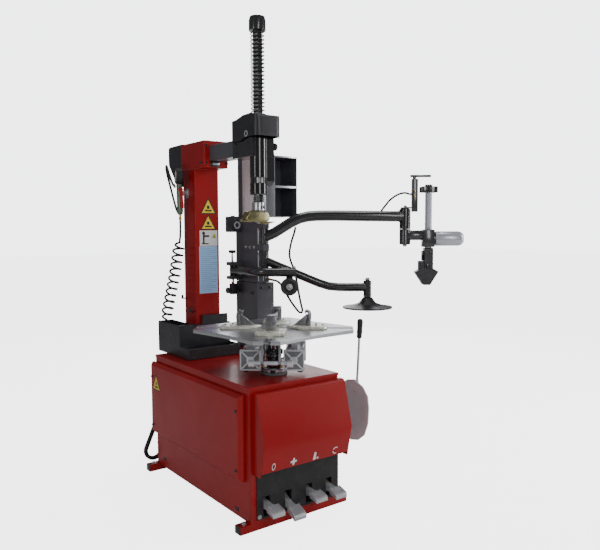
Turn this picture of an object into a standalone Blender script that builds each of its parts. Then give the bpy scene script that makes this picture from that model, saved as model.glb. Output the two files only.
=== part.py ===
"""Tilt-back tyre changer with a helper arm, a bead breaker and an air inflator.

Metres, +Z up. Sizes and places below are in the machine's own frame: X = 0 on the cabinet's
centre line, Y = 0 at its front, Z = 0 on the floor. The parent empty moves that frame so that
the world origin is the centre of the whole machine's footprint.
"""

import math

import bmesh
import bpy
from mathutils import Matrix, Vector

# ---------------------------------------------------------------- driving dimensions
FOOTPRINT_CENTRE = (0.4087, 0.4635)
GAP = 0.0003

CAB_HALF_W = 0.240
CAB_DEPTH = 0.920
CAB_BOTTOM = 0.036
CAB_TOP = 0.615
LID_HEIGHT = 0.012
LID_LIP = 0.003
SHEET = 0.003

TABLE_AXIS = (0.0, 0.168)
TABLE_TOP = 0.823
TABLE_THICK = 0.016
TABLE_RADIUS = 0.361
TABLE_TURN = math.radians(230.8)
SLOT_WIDTH = 0.030
CHUCK_Z = 0.698
CHUCK_OFFSET = 0.095
CHUCK_HALF_LENGTH = 0.115

SHAFT_Y = 0.285
SHAFT_RADIUS = 0.024
SHAFT_TOP = 2.160
CAP_TOP = 2.222
CLAMP_BOTTOM = 1.353

COLUMN_HALF_W = 0.069
COLUMN_FRONT = 0.773
COLUMN_BACK = 0.905
COLUMN_BOTTOM = 0.672
COLUMN_TOP = 1.576
TILT_Y = 0.860
TILT_Z = 0.712

BEAM_HALF_W = 0.045
BEAM_LOW = 1.608
BEAM_HIGH = 1.684
BEAM_REAR = 0.845
HEAD_BACK = 0.430
HEAD_TOP = 1.684

POST_X = (0.252, 0.3635)
MAST_X = (0.263, 0.322)
MAST_Y = (0.700, 0.900)
MAST_TOP = 1.660
POST_TOP = 0.978
CARRIAGE_TOP = 1.306

ARM_PIVOT = (0.270, 0.645)
ARM_HEADING = math.radians(-36.9)
BARREL_REACH = 0.746
SCREW_REACH = 0.870
DISC_REACH = 0.548
ROLLER_PIVOT = (0.212, 0.870)
ROLLER_CENTRE = (0.332, 0.506, 0.967)

BEAD_PIVOT = (0.285, 0.800)
BLADE_X = 0.409
BLADE_PIN = (0.434, 0.100)

PEDAL_AXIS = (0.085, 0.118)
PEDAL_X = (-0.160, -0.047, 0.066, 0.179)
PEDAL_EXTRA = (0.0, 0.008, 0.0, 0.0)
PEDAL_DROP = tuple(math.radians(angle) for angle in (0.0, 14.0, -2.0, 2.4))

MOTOR_AXIS = (0.475, 0.300)
WORM_AXIS = (0.225, 0.470)
PULLEY_X = -0.170

GAUGE_TURN = math.radians(-17.0)

CABLE_RADIUS = 0.005
COIL_CENTRE = (-0.197, 0.990, 0.152)
COIL_LEAN = math.radians(24.0)
COIL_RUN = 0.150
COIL_BEND = 0.045

# ---------------------------------------------------------------- materials
PAINT_RED = ("red_paint", (0.50, 0.018, 0.020, 1.0), 0.35, 0.0)
PAINT_BLACK = ("black_paint", (0.018, 0.018, 0.021, 1.0), 0.40, 0.0)
PLASTIC_BLACK = ("black_plastic", (0.025, 0.025, 0.028, 1.0), 0.55, 0.0)
RUBBER = ("rubber", (0.020, 0.020, 0.020, 1.0), 0.75, 0.0)
STEEL = ("bright_steel", (0.62, 0.62, 0.64, 1.0), 0.28, 1.0)
ZINC = ("zinc_plated_steel", (0.55, 0.56, 0.58, 1.0), 0.42, 1.0)
ALUMINIUM = ("cast_aluminium", (0.66, 0.67, 0.69, 1.0), 0.38, 1.0)
BRONZE = ("yellow_zinc", (0.52, 0.44, 0.22, 1.0), 0.38, 1.0)
CAST_GREY = ("machine_grey", (0.20, 0.21, 0.22, 1.0), 0.55, 0.0)
GREEN = ("grey_green", (0.22, 0.30, 0.22, 1.0), 0.45, 0.0)


def material(recipe):
    """The Principled material of this recipe, made on first use."""
    name, colour, roughness, metallic = recipe
    found = bpy.data.materials.get(name)
    if found:
        return found
    made = bpy.data.materials.new(name)
    made.use_nodes = True
    shader = made.node_tree.nodes["Principled BSDF"]
    shader.inputs["Base Color"].default_value = colour
    shader.inputs["Roughness"].default_value = roughness
    shader.inputs["Metallic"].default_value = metallic
    return made


# ---------------------------------------------------------------- mesh tools
def finish_mesh(bm):
    """A mesh from this bmesh, faces pointing out."""
    bmesh.ops.recalc_face_normals(bm, faces=bm.faces)
    mesh = bpy.data.meshes.new("shape")
    bm.to_mesh(mesh)
    bm.free()
    return mesh


def bevel_edges(bm, width, segments=1):
    if width:
        bmesh.ops.bevel(
            bm, geom=list(bm.edges), offset=width, segments=segments, affect="EDGES", profile=0.5
        )


def box(x, y, z, bevel=0.0):
    """A box from three (low, high) pairs."""
    bm = bmesh.new()
    bmesh.ops.create_cube(bm, size=1.0)
    size = Matrix.Diagonal((x[1] - x[0], y[1] - y[0], z[1] - z[0], 1.0))
    middle = Matrix.Translation(((x[0] + x[1]) / 2, (y[0] + y[1]) / 2, (z[0] + z[1]) / 2))
    bmesh.ops.transform(bm, matrix=middle @ size, verts=bm.verts)
    bevel_edges(bm, bevel)
    return finish_mesh(bm)


def prism(outline, axis, low, high, bevel=0.0):
    """An outline extruded along an axis. It lies in (Y, Z), (X, Z) or (X, Y) for x, y or z."""
    place = {
        "x": lambda a, b: (low, a, b),
        "y": lambda a, b: (a, low, b),
        "z": lambda a, b: (a, b, low),
    }[axis]
    step = {"x": (high - low, 0, 0), "y": (0, high - low, 0), "z": (0, 0, high - low)}[axis]
    bm = bmesh.new()
    face = bm.faces.new([bm.verts.new(place(a, b)) for a, b in outline])
    grown = bmesh.ops.extrude_face_region(bm, geom=[face])
    moved = [item for item in grown["geom"] if isinstance(item, bmesh.types.BMVert)]
    bmesh.ops.translate(bm, vec=step, verts=moved)
    bevel_edges(bm, bevel)
    return finish_mesh(bm)


def turned(profile, steps=24):
    """A solid turned about Z from a profile of (radius, height) points, closed at its ends."""
    bm = bmesh.new()
    verts = [bm.verts.new((radius, 0.0, height)) for radius, height in profile]
    edges = [bm.edges.new(pair) for pair in zip(verts, verts[1:])]
    if profile[0][0] > 1e-9:
        edges.append(bm.edges.new((verts[-1], verts[0])))
    bmesh.ops.spin(
        bm, geom=verts + edges, cent=(0, 0, 0), axis=(0, 0, 1), angle=math.tau, steps=steps
    )
    bmesh.ops.remove_doubles(bm, verts=bm.verts, dist=1e-6)
    hubs = [vert for vert in bm.verts if vert.co.xy.length < 1e-9]
    bmesh.ops.dissolve_verts(bm, verts=hubs)
    return finish_mesh(bm)


def cylinder(radius, low, high, steps=24):
    return turned([(0.0, low), (radius, low), (radius, high), (0.0, high)], steps)


def moved(mesh, offset):
    mesh.transform(Matrix.Translation(offset))
    return mesh


def turned_round(mesh, angle, axis, about=(0, 0, 0)):
    centre = Vector(about)
    turn = Matrix.Rotation(angle, 4, axis)
    mesh.transform(Matrix.Translation(centre) @ turn @ Matrix.Translation(-centre))
    return mesh


def along_x(mesh):
    """Lays a solid made about Z on the X axis, its top towards +X."""
    return turned_round(mesh, math.pi / 2, "Y")


def rearward(mesh, start):
    """Points a solid made about Z towards +Y, from this start."""
    return moved(turned_round(mesh, -math.pi / 2, "X"), start)


def combine(base, others, operation):
    """The Boolean of a base mesh with each of the others in turn."""
    scene = bpy.context.scene.collection
    first = bpy.data.objects.new("combine_base", base)
    scene.objects.link(first)
    helpers = []
    for number, mesh in enumerate(others):
        helper = bpy.data.objects.new("combine_tool_%d" % number, mesh)
        helper.hide_render = True
        helper.display_type = "WIRE"
        scene.objects.link(helper)
        helpers.append(helper)
        modifier = first.modifiers.new("step_%d" % number, "BOOLEAN")
        modifier.operation = operation
        modifier.object = helper
    bpy.context.view_layer.update()
    graph = bpy.context.evaluated_depsgraph_get()
    result = bpy.data.meshes.new_from_object(first.evaluated_get(graph))
    for obj in [first] + helpers:
        bpy.data.objects.remove(obj)
    return result


def union(base, *others):
    return combine(base, others, "UNION")


def minus(base, *others):
    return combine(base, others, "DIFFERENCE")


def both(base, *others):
    return combine(base, others, "INTERSECT")


def smooth_route(points, spacing):
    """Points at an even spacing on a Catmull-Rom curve through the route's own points."""
    route = [Vector(point) for point in points]
    ends = [route[0] * 2 - route[1]] + route + [route[-1] * 2 - route[-2]]
    fine = []
    for a, b, c, d in zip(ends, ends[1:], ends[2:], ends[3:]):
        for step in range(12):
            t = step / 12
            fine.append(
                0.5 * (2 * b + (c - a) * t + (2 * a - 5 * b + 4 * c - d) * t * t
                       + (3 * b - a - 3 * c + d) * t ** 3)
            )
    fine.append(route[-1])
    length = sum((q - p).length for p, q in zip(fine, fine[1:]))
    count = max(2, round(length / spacing))
    even, walked, target = [fine[0]], 0.0, length / count
    for p, q in zip(fine, fine[1:]):
        run = (q - p).length
        while walked + run >= target * len(even) and len(even) < count:
            even.append(p.lerp(q, (target * len(even) - walked) / run))
        walked += run
    even.append(fine[-1])
    return even


def pipe_curve(name, points, radius, resolution=2, swell=None):
    """A curve with a round bevel and filled caps; swell holds a factor for each point."""
    curve = bpy.data.curves.new(name, "CURVE")
    curve.dimensions = "3D"
    curve.bevel_depth = radius
    curve.bevel_resolution = resolution
    curve.use_fill_caps = True
    spline = curve.splines.new("POLY")
    spline.points.add(len(points) - 1)
    for number, (knot, point) in enumerate(zip(spline.points, points)):
        knot.co = (*point, 1.0)
        if swell:
            knot.radius = swell[number]
    return curve


def pipe(points, radius, spacing=0.03, resolution=3):
    """A round bar or tube along a smooth route, as a mesh."""
    curve = pipe_curve("pipe", smooth_route(points, spacing), radius, resolution)
    holder = bpy.data.objects.new("pipe", curve)
    bpy.context.scene.collection.objects.link(holder)
    bpy.context.view_layer.update()
    graph = bpy.context.evaluated_depsgraph_get()
    mesh = bpy.data.meshes.new_from_object(holder.evaluated_get(graph))
    bpy.data.objects.remove(holder)
    bm = bmesh.new()
    bm.from_mesh(mesh)
    bmesh.ops.remove_doubles(bm, verts=bm.verts, dist=1e-6)
    return finish_mesh(bm)


def place(name, data, recipe, pivot=(0.0, 0.0, 0.0), smooth=math.radians(35)):
    """Adds a named object whose origin is its pivot, under the machine's parent empty."""
    data.name = name
    data.transform(Matrix.Translation(-Vector(pivot)))
    data.materials.clear()
    data.materials.append(material(recipe))
    if isinstance(data, bpy.types.Mesh):
        data.shade_smooth()
        data.set_sharp_from_angle(angle=smooth)
    obj = bpy.data.objects.new(name, data)
    obj.location = pivot
    obj.parent = bpy.data.objects["machine"]
    bpy.context.scene.collection.objects.link(obj)
    return obj


def reach(distance, side, z, pivot=ARM_PIVOT):
    """A point on a helper arm: distance out along the arms' heading, and side to its left."""
    out = Vector((math.cos(ARM_HEADING), math.sin(ARM_HEADING)))
    left = Vector((-out.y, out.x))
    spot = Vector(pivot) + out * distance + left * side
    return (spot.x, spot.y, z)


def arm_box(near, far, half, z, bevel=0.0):
    """A box that lies along the helper arms, from one distance to another."""
    mesh = box((near, far), (-half, half), z, bevel)
    turned_round(mesh, ARM_HEADING, "Z")
    return moved(mesh, (ARM_PIVOT[0], ARM_PIVOT[1], 0.0))


def upright(mesh, spot):
    return moved(mesh, (spot[0], spot[1], 0.0))


# ---------------------------------------------------------------- cabinet
def make_cabinet():
    wide = CAB_HALF_W - LID_LIP
    body = box((-wide, wide), (LID_LIP, CAB_DEPTH - LID_LIP), (CAB_BOTTOM, CAB_TOP - 0.006))
    lid = box((-CAB_HALF_W, CAB_HALF_W), (0, CAB_DEPTH), (CAB_TOP - LID_HEIGHT, CAB_TOP), 0.002)
    ear_low = box((wide - 0.001, 0.310), (0.776, 0.824), (0.212, 0.230))
    ear_high = box((wide - 0.001, 0.310), (0.776, 0.824), (0.360, 0.378))
    pin = upright(cylinder(0.010, 0.220, 0.370, 16), BEAD_PIVOT)
    gland = rearward(cylinder(0.012, 0.0, 0.016, 16), (-0.116, 0.912, 0.345))
    peg = rearward(cylinder(0.005, 0.0, 0.100, 12), (-0.1665, 0.912, 0.2501))
    inner = wide - SHEET
    room = box(
        (-inner, inner),
        (LID_LIP + SHEET, CAB_DEPTH - LID_LIP - SHEET),
        (0.0, CAB_TOP - LID_HEIGHT - SHEET),
    )
    window = box((-0.203, 0.230), (-0.01, 0.02), (0.052, 0.222))
    shaft_hole = upright(cylinder(0.0605, 0.55, 0.65, 32), TABLE_AXIS)
    rod_hole = moved(along_x(cylinder(0.030, 0.20, 0.26, 20)), (0, 0.650, 0.320))
    shell = union(body, lid, ear_low, ear_high, pin, gland, peg)
    return minus(shell, room, window, shaft_hole, rod_hole)


def raised_panel(x_in, x_out, y, z, wall, chamfer):
    """A pressed cover: an upright rim, then a chamfer up to a flat face, open at the back."""
    bm = bmesh.new()
    loops = []
    for x, inset in ((x_in, 0.0), (wall, 0.0), (x_out, chamfer)):
        corners = (
            (x, y[0] + inset, z[0] + inset),
            (x, y[1] - inset, z[0] + inset),
            (x, y[1] - inset, z[1] - inset),
            (x, y[0] + inset, z[1] - inset),
        )
        loops.append([bm.verts.new(corner) for corner in corners])
    for low, high in zip(loops, loops[1:]):
        for k in range(4):
            bm.faces.new((low[k], low[(k + 1) % 4], high[(k + 1) % 4], high[k]))
    bm.faces.new(loops[0])
    bm.faces.new(loops[-1])
    return finish_mesh(bm)


def make_side_cover():
    x_in = -(CAB_HALF_W - LID_LIP) - GAP
    outer = raised_panel(x_in, -0.2645, (0.042, 0.933), (0.205, 0.578), -0.2505, 0.014)
    hollow = box((-0.2500, -0.20), (0.046, 0.929), (0.209, 0.574))
    return minus(outer, hollow)


def make_front_cover():
    back = LID_LIP - GAP
    face = [(-0.022, 0.590), (-0.031, 0.578), (-0.078, 0.385), (-0.048, 0.243)]
    inside = [(-0.020, 0.586), (-0.0275, 0.576), (-0.0735, 0.385), (-0.0445, 0.220)]
    outer = prism([(back, 0.592)] + face + [(back, 0.243)], "x", -0.222, 0.252)
    hollow = prism([(0.02, 0.588)] + inside + [(0.02, 0.220)], "x", -0.219, 0.249)
    return minus(outer, hollow)


def make_pedal_panel():
    panel = box((-0.209, 0.2365), (-0.001, LID_LIP - GAP), (0.045, 0.2425))
    slots = [box((x - 0.017, x + 0.017), (-0.01, 0.02), (0.055, 0.140)) for x in PEDAL_X]
    return minus(panel, *slots)


def make_foot_rail(y):
    outer = box((-0.288, 0.290), (y, y + 0.045), (0.0, CAB_BOTTOM - GAP), 0.002)
    bore = box((-0.31, 0.31), (y + 0.003, y + 0.042), (0.003, CAB_BOTTOM - 0.0035))
    return minus(outer, bore)


def make_wheel_pad():
    """Ribbed rubber buffer on the right side, which the wheel leans on."""
    x_in = CAB_HALF_W - LID_LIP + GAP
    ribs = [(x_in, 0.215), (0.252, 0.215)]
    for k in range(7):
        z = 0.225 + k * 0.038
        ribs += [(0.252, z), (0.262, z + 0.006), (0.262, z + 0.022), (0.252, z + 0.028)]
    ribs += [(0.252, 0.495), (x_in, 0.495)]
    return prism(ribs, "y", 0.070, 0.340)


def make_pedal_bracket():
    y, z = PEDAL_AXIS
    rod = moved(along_x(cylinder(0.006, -0.205, 0.226, 16)), (0, y, z))
    left = box((-0.209, -0.203), (0.065, 0.170), (0.040, 0.135))
    right = box((0.223, 0.229), (0.065, 0.170), (0.040, 0.135))
    floor = box((-0.206, 0.226), (0.120, 0.170), (0.040, 0.046))
    valves = [
        box((x - 0.016, x + 0.016), (0.128, 0.166), (0.045, 0.092), 0.002) for x in PEDAL_X
    ]
    return union(rod, left, right, floor, *valves)


def make_motor():
    y, z = MOTOR_AXIS
    profile = [
        (0.0, -0.100), (0.066, -0.100), (0.074, -0.085), (0.074, 0.100),
        (0.066, 0.150), (0.0, 0.150),
    ]
    drum = moved(along_x(turned(profile, 28)), (0, y, z))
    shaft = moved(along_x(cylinder(0.009, -0.185, -0.090, 16)), (0, y, z))
    shelf = box((-0.06, 0.08), (0.2625, y + 0.01), (z + 0.062, z + 0.072))
    hanger = box((-0.06, 0.08), (0.2625, 0.2725), (z + 0.067, 0.470))
    return union(drum, shaft, shelf, hanger, make_pulley(0.040, 0.0084, MOTOR_AXIS))


def make_gearbox():
    top = CAB_TOP - LID_HEIGHT - SHEET - GAP
    case = box((-0.075, 0.075), (0.098, 0.262), (0.420, top), 0.008)
    neck = upright(cylinder(0.046, 0.58, 0.630, 32), TABLE_AXIS)
    flange = upright(cylinder(0.058, 0.6165, 0.628, 32), TABLE_AXIS)
    worm = moved(along_x(cylinder(0.010, -0.185, -0.070, 16)), (0, *WORM_AXIS))
    bore = upright(cylinder(0.0204, 0.40, 0.70, 32), TABLE_AXIS)
    return minus(union(case, neck, flange, worm), bore)


def make_pulley(radius, bore, axis):
    """A belt pulley with one groove, turned on the X axis."""
    profile = [
        (bore, -0.012), (radius, -0.012), (radius, -0.009), (radius - 0.006, -0.004),
        (radius - 0.006, 0.004), (radius, 0.009), (radius, 0.012), (bore, 0.012),
    ]
    return moved(along_x(turned(profile, 28)), (PULLEY_X, *axis))


def make_tray():
    """Moulded tool tray in front of the column, with a bin at its left rear."""
    floor = box((-0.178, 0.120), (0.655, 0.770), (CAB_TOP + GAP, 0.672), 0.003)
    bin_block = box((-0.1775, -0.094), (0.765, 1.012), (0.616, 0.778), 0.003)
    wall = box((-0.177, 0.119), (0.757, 0.769), (0.620, 0.777))
    fence = box((-0.045, 0.105), (0.7575, 0.7685), (0.700, 0.822))
    dish = box((-0.172, 0.114), (0.661, 0.751), (0.628, 0.70))
    pocket = box((-0.172, -0.100), (0.775, 1.006), (0.628, 0.90))
    nipple = moved(cylinder(0.007, 0.620, 0.7000, 12), (-0.129, 0.959, 0.0))
    return union(minus(union(floor, bin_block, wall, fence), dish, pocket), nipple)


# ---------------------------------------------------------------- pedals
def make_pedal(number):
    """A pedal with a wide foot pad, on a bored hub that turns on the pedal rod."""
    x, extra = PEDAL_X[number], PEDAL_EXTRA[number]
    y, z = PEDAL_AXIS
    tip = -0.095 - extra
    hub = moved(along_x(cylinder(0.014, x - 0.013, x + 0.013, 20)), (0, y, z))
    bar = [
        (y, z + 0.010), (y, z - 0.010), (-0.02, z - 0.030), (tip + 0.02, z - 0.036),
        (tip + 0.02, z - 0.026), (-0.036, z - 0.008),
    ]
    arm = prism(bar, "x", x - 0.013, x + 0.013)
    pad_side = [
        (-0.040, z - 0.004), (-0.040, z - 0.016), (tip, z - 0.038), (tip, z - 0.022),
        (tip + 0.010, z - 0.015),
    ]
    pad = prism(pad_side, "x", x - 0.0315, x + 0.0315, 0.0015)
    heel = prism([(y, z + 0.008), (y, z - 0.012), (0.122, z - 0.020), (0.122, z - 0.002)],
                 "x", x - 0.009, x + 0.009)
    bore = moved(along_x(cylinder(0.0063, x - 0.03, x + 0.03, 16)), (0, y, z))
    solid = minus(union(hub, arm, pad, heel), bore)
    return turned_round(solid, PEDAL_DROP[number], "X", (0, y, z))


# ---------------------------------------------------------------- turntable
def table_place(mesh):
    """Moves a mesh made with the front arm along +X to its place on the turntable."""
    turned_round(mesh, TABLE_TURN, "Z")
    return upright(mesh, TABLE_AXIS)


def star_outline():
    """Four truncated tips joined by nearly straight sides."""
    points = []
    for arm in range(4):
        angle = arm * math.pi / 2
        tip = math.atan2(0.055, TABLE_RADIUS)
        points += [
            (TABLE_RADIUS * math.cos(angle - tip), TABLE_RADIUS * math.sin(angle - tip)),
            (TABLE_RADIUS * math.cos(angle + tip), TABLE_RADIUS * math.sin(angle + tip)),
            (0.275 * math.cos(angle + math.pi / 4), 0.275 * math.sin(angle + math.pi / 4)),
        ]
    return points


def make_table_plate():
    low = TABLE_TOP - TABLE_THICK
    plate = prism(star_outline(), "z", low, TABLE_TOP)
    slots = []
    for arm in range(4):
        slot = box((0.035, 0.45), (-SLOT_WIDTH / 2, SLOT_WIDTH / 2), (low - 0.01, TABLE_TOP + 0.01))
        slots.append(turned_round(slot, arm * math.pi / 2, "Z"))
    return table_place(minus(plate, *slots))


def make_table_shaft():
    seat = TABLE_TOP - TABLE_THICK - GAP
    profile = [
        (0.0, 0.455), (0.0198, 0.455), (0.0198, 0.6305), (0.056, 0.6305), (0.056, 0.641),
        (0.022, 0.645), (0.022, 0.772), (0.034, 0.778), (0.034, seat), (0.0, seat),
    ]
    return upright(turned(profile, 32), TABLE_AXIS)


def make_chuck_cylinder(side):
    """A clamping cylinder with square end caps, hung under the plate."""
    far = CHUCK_HALF_LENGTH
    tube = moved(along_x(cylinder(0.041, -far, far, 28)), (0, 0, 0))
    parts = []
    for end in (-1, 1):
        low, high = sorted((end * far, end * (far - 0.018)))
        parts.append(box((low, high), (-0.046, 0.046), (-0.046, 0.046), 0.003))
        foot = end * 0.060
        parts.append(
            box((foot - 0.014, foot + 0.014), (-0.014, 0.014),
                (0.030, TABLE_TOP - TABLE_THICK - GAP - CHUCK_Z))
        )
    parts.append(along_x(cylinder(0.012, far - 0.005, far + 0.008, 16)))
    whole = union(tube, *parts)
    return table_place(moved(whole, (0.0, side * CHUCK_OFFSET, CHUCK_Z)))


def make_jaw(arm):
    """A wedge-nosed slide plate with its tongue, and the hooked clamping jaw on top."""
    base = TABLE_TOP + GAP
    top = base + 0.013
    nose = [
        (0.056, 0.0), (0.116, -0.063), (0.226, -0.063), (0.240, -0.044),
        (0.240, 0.044), (0.226, 0.063), (0.116, 0.063),
    ]
    plate = prism(nose, "z", base, top)
    tongue = box((0.085, 0.200), (-0.0146, 0.0146), (TABLE_TOP - TABLE_THICK + 0.001, base + 0.005))
    web = prism(
        [(0.088, top - 0.003), (0.164, top - 0.003), (0.164, 0.885), (0.148, 0.886)],
        "y", -0.007, 0.007,
    )
    hook = prism(
        [(0.146, top - 0.003), (0.166, top - 0.003), (0.169, 0.880), (0.166, 0.895),
         (0.154, 0.905), (0.140, 0.903), (0.142, 0.897), (0.153, 0.893), (0.156, 0.880)],
        "y", -0.0235, 0.0235,
    )
    solid = [plate, tongue, web, hook]
    if arm == 0:
        solid += chuck_link()
    whole = union(*solid)
    turned_round(whole, arm * math.pi / 2, "Z")
    return table_place(whole)


def chuck_link():
    """The yoke under the front slide: a stem, two legs and the cross bar to both cylinders."""
    stem = box((0.150, 0.190), (-0.012, 0.012), (0.780, 0.815))
    saddle = box((0.160, 0.190), (-0.044, 0.044), (0.782, 0.794))
    legs = [box((0.171, 0.181), (y - 0.005, y + 0.005), (0.692, 0.788)) for y in (-0.038, 0.038)]
    bar = moved(turned_round(cylinder(0.007, -0.092, 0.092, 12), math.pi / 2, "X"), (0.176, 0, 0.698))
    return [stem, saddle, bar] + legs


# ---------------------------------------------------------------- column, beam and head
def make_column_base():
    floor = box((-0.092, 0.115), (0.7915, 0.915), (CAB_TOP + GAP, 0.630), 0.002)
    ears = [
        box((x, x + 0.012), (0.815, 0.905), (0.620, 0.745), 0.002) for x in (-0.0825, 0.0705)
    ]
    pin = moved(along_x(cylinder(0.012, -0.0885, 0.0885, 20)), (0, TILT_Y, TILT_Z))
    return union(floor, *ears, pin)


def make_column():
    side = [
        (COLUMN_FRONT, COLUMN_BOTTOM + 0.030), (COLUMN_FRONT + 0.030, COLUMN_BOTTOM),
        (COLUMN_BACK, COLUMN_BOTTOM), (COLUMN_BACK, COLUMN_TOP), (COLUMN_FRONT, COLUMN_TOP),
    ]
    outer = prism(side, "x", -COLUMN_HALF_W, COLUMN_HALF_W, 0.003)
    bore = box(
        (-COLUMN_HALF_W + 0.005, COLUMN_HALF_W - 0.005),
        (COLUMN_FRONT + 0.005, COLUMN_BACK - 0.005),
        (COLUMN_BOTTOM - 0.1, COLUMN_TOP + 0.1),
    )
    hole = moved(along_x(cylinder(0.0126, -0.1, 0.1, 20)), (0, TILT_Y, TILT_Z))
    return minus(outer, bore, hole)


def make_sleeve():
    outer = box((-0.076, 0.062), (0.660, 0.912), (COLUMN_TOP + GAP, 1.710), 0.003)
    channel = box(
        (-BEAM_HALF_W - 0.0006, BEAM_HALF_W + 0.0006), (0.6, 1.0), (BEAM_LOW - 0.0006, BEAM_HIGH + 0.0006)
    )
    return minus(outer, channel)


def make_sleeve_cover():
    outline = [
        (0.9123, 1.715), (1.060, 1.713), (1.070, 1.703), (1.070, 1.618), (0.968, 1.495), (0.9123, 1.495),
    ]
    inside = [
        (0.900, 1.711), (1.058, 1.709), (1.066, 1.701), (1.066, 1.620), (0.966, 1.499), (0.900, 1.499),
    ]
    outer = prism(outline, "x", -0.072, 0.058)
    return minus(outer, prism(inside, "x", -0.068, 0.054))


def make_beam():
    outer = box((-BEAM_HALF_W, BEAM_HALF_W), (HEAD_BACK + GAP, BEAM_REAR), (BEAM_LOW, BEAM_HIGH), 0.003)
    bore = box(
        (-BEAM_HALF_W + 0.006, BEAM_HALF_W - 0.006),
        (HEAD_BACK + 0.02, BEAM_REAR + 0.05),
        (BEAM_LOW + 0.006, BEAM_HIGH - 0.006),
    )
    return minus(outer, bore)


def make_head_housing():
    """Block at the beam's front end, with the shaft's guide tube and a lower side plate."""
    block = box((-0.050, 0.074), (0.262, HEAD_BACK), (1.597, HEAD_TOP), 0.003)
    guide = moved(cylinder(0.039, 1.424, 1.680, 8), (0, SHAFT_Y, 0))
    side = prism(
        [(0.2625, 1.487), (0.285, 1.469), (0.345, 1.469), (0.345, 1.62), (0.2625, 1.62)], "x", 0.020, 0.0735
    )
    shaft_bore = moved(cylinder(0.0248, 1.40, 1.72, 24), (0, SHAFT_Y, 0))
    return minus(union(block, guide, side), shaft_bore)


def rounded_rectangle(x, y, radius, steps=5):
    """Corner arcs of a rectangle, anticlockwise."""
    corners = ((x[1], y[0], -90), (x[1], y[1], 0), (x[0], y[1], 90), (x[0], y[0], 180))
    points = []
    for px, py, start in corners:
        cx = px + (radius if px == x[0] else -radius)
        cy = py + (radius if py == y[0] else -radius)
        for k in range(steps + 1):
            angle = math.radians(start + 90 * k / steps)
            points.append((cx + radius * math.cos(angle), cy + radius * math.sin(angle)))
    return points


def head_cover_solid(inset):
    sink = 0.03 if inset else 0.0
    low = HEAD_TOP + GAP - sink
    side = [
        (0.436 - inset, 1.671 - sink), (0.436 - inset, 1.767 - inset), (0.380, 1.770 - inset),
        (0.320, 1.784 - inset), (0.255, 1.787 - inset), (0.214 + inset, 1.778 - inset),
        (0.206 + inset, 1.768 - inset), (0.206 + inset, low), (0.300, low), (0.350, 1.671 - sink),
    ]
    plan = rounded_rectangle((-0.061 + inset, 0.078 - inset), (0.206 + inset, 0.436 - inset), 0.030)
    return both(prism(side, "x", -0.1, 0.1), prism(plan, "z", 1.60, 1.90))


def make_head_cover():
    hole = moved(cylinder(0.030, 1.60, 1.90, 24), (0, SHAFT_Y, 0))
    neck = box((-BEAM_HALF_W - 0.008, 0.0765), (0.350, 0.50), (1.60, HEAD_TOP + GAP))
    return minus(head_cover_solid(0.0), head_cover_solid(0.0035), hole, neck)


def make_lock_knob():
    profile = [
        (0.0, 0.0743), (0.009, 0.0743), (0.009, 0.080), (0.017, 0.082), (0.017, 0.094),
        (0.013, 0.098), (0.0, 0.098),
    ]
    return moved(along_x(turned(profile, 16)), (0, 0.282, 1.648))


def make_hex_shaft():
    """Hexagonal tool shaft with its top cap and the split clamp at its lower end."""
    bar = moved(cylinder(SHAFT_RADIUS, CLAMP_BOTTOM + 0.01, SHAFT_TOP + 0.01, 6), (0, SHAFT_Y, 0))
    cap = [
        (0.0, SHAFT_TOP), (0.0385, SHAFT_TOP), (0.0385, 2.205), (0.034, CAP_TOP), (0.0, CAP_TOP),
    ]
    clamp = [(0.0, CLAMP_BOTTOM), (0.030, CLAMP_BOTTOM), (0.030, 1.390), (0.0, 1.390)]
    return union(bar, moved(turned(cap, 24), (0, SHAFT_Y, 0)), moved(turned(clamp, 16), (0, SHAFT_Y, 0)))


def make_spring():
    """Round-wire return spring between the head cover and the shaft's cap."""
    turns, radius, wire = 20, 0.0282, 0.0022
    low, high = 1.7878 + wire, SHAFT_TOP - GAP - wire
    per_turn = 10
    points = []
    for k in range(turns * per_turn + 1):
        angle = math.tau * k / per_turn
        height = low + (high - low) * k / (turns * per_turn)
        points.append((radius * math.cos(angle), SHAFT_Y + radius * math.sin(angle), height))
    return pipe_curve("return_spring", points, wire, 0)


def make_mount_head():
    """Duck-shaped mounting tool: a beak on the left, a tail wing on the right."""
    top = CLAMP_BOTTOM - GAP
    outline = [
        (-0.102, 1.301), (-0.090, 1.312), (-0.060, 1.344), (-0.030, top), (0.030, top),
        (0.048, 1.334), (0.074, 1.304), (0.076, 1.288), (0.030, 1.296), (-0.060, 1.298),
    ]
    return prism(outline, "y", 0.260, 0.306, 0.002)


# ---------------------------------------------------------------- helper post and arms
def make_helper_post():
    post = box(POST_X, (MAST_Y[0] - 0.008, MAST_Y[1] + 0.008), (0.430, POST_TOP), 0.003)
    bore = box((POST_X[0] + 0.006, POST_X[1] - 0.006), MAST_Y, (0.40, POST_TOP - 0.008))
    plates = [
        box((CAB_HALF_W + GAP, POST_X[0] + 0.002), (0.710, 0.890), (z, z + 0.060))
        for z in (0.445, 0.545)
    ]
    return minus(union(post, *plates), bore)


def make_mast():
    outer = box(MAST_X, MAST_Y, (POST_TOP + GAP, MAST_TOP), 0.003)
    bore = box(
        (MAST_X[0] + 0.005, MAST_X[1] - 0.005), (MAST_Y[0] + 0.005, MAST_Y[1] - 0.005),
        (POST_TOP + 0.01, MAST_TOP + 0.1),
    )
    return minus(outer, bore)


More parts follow.
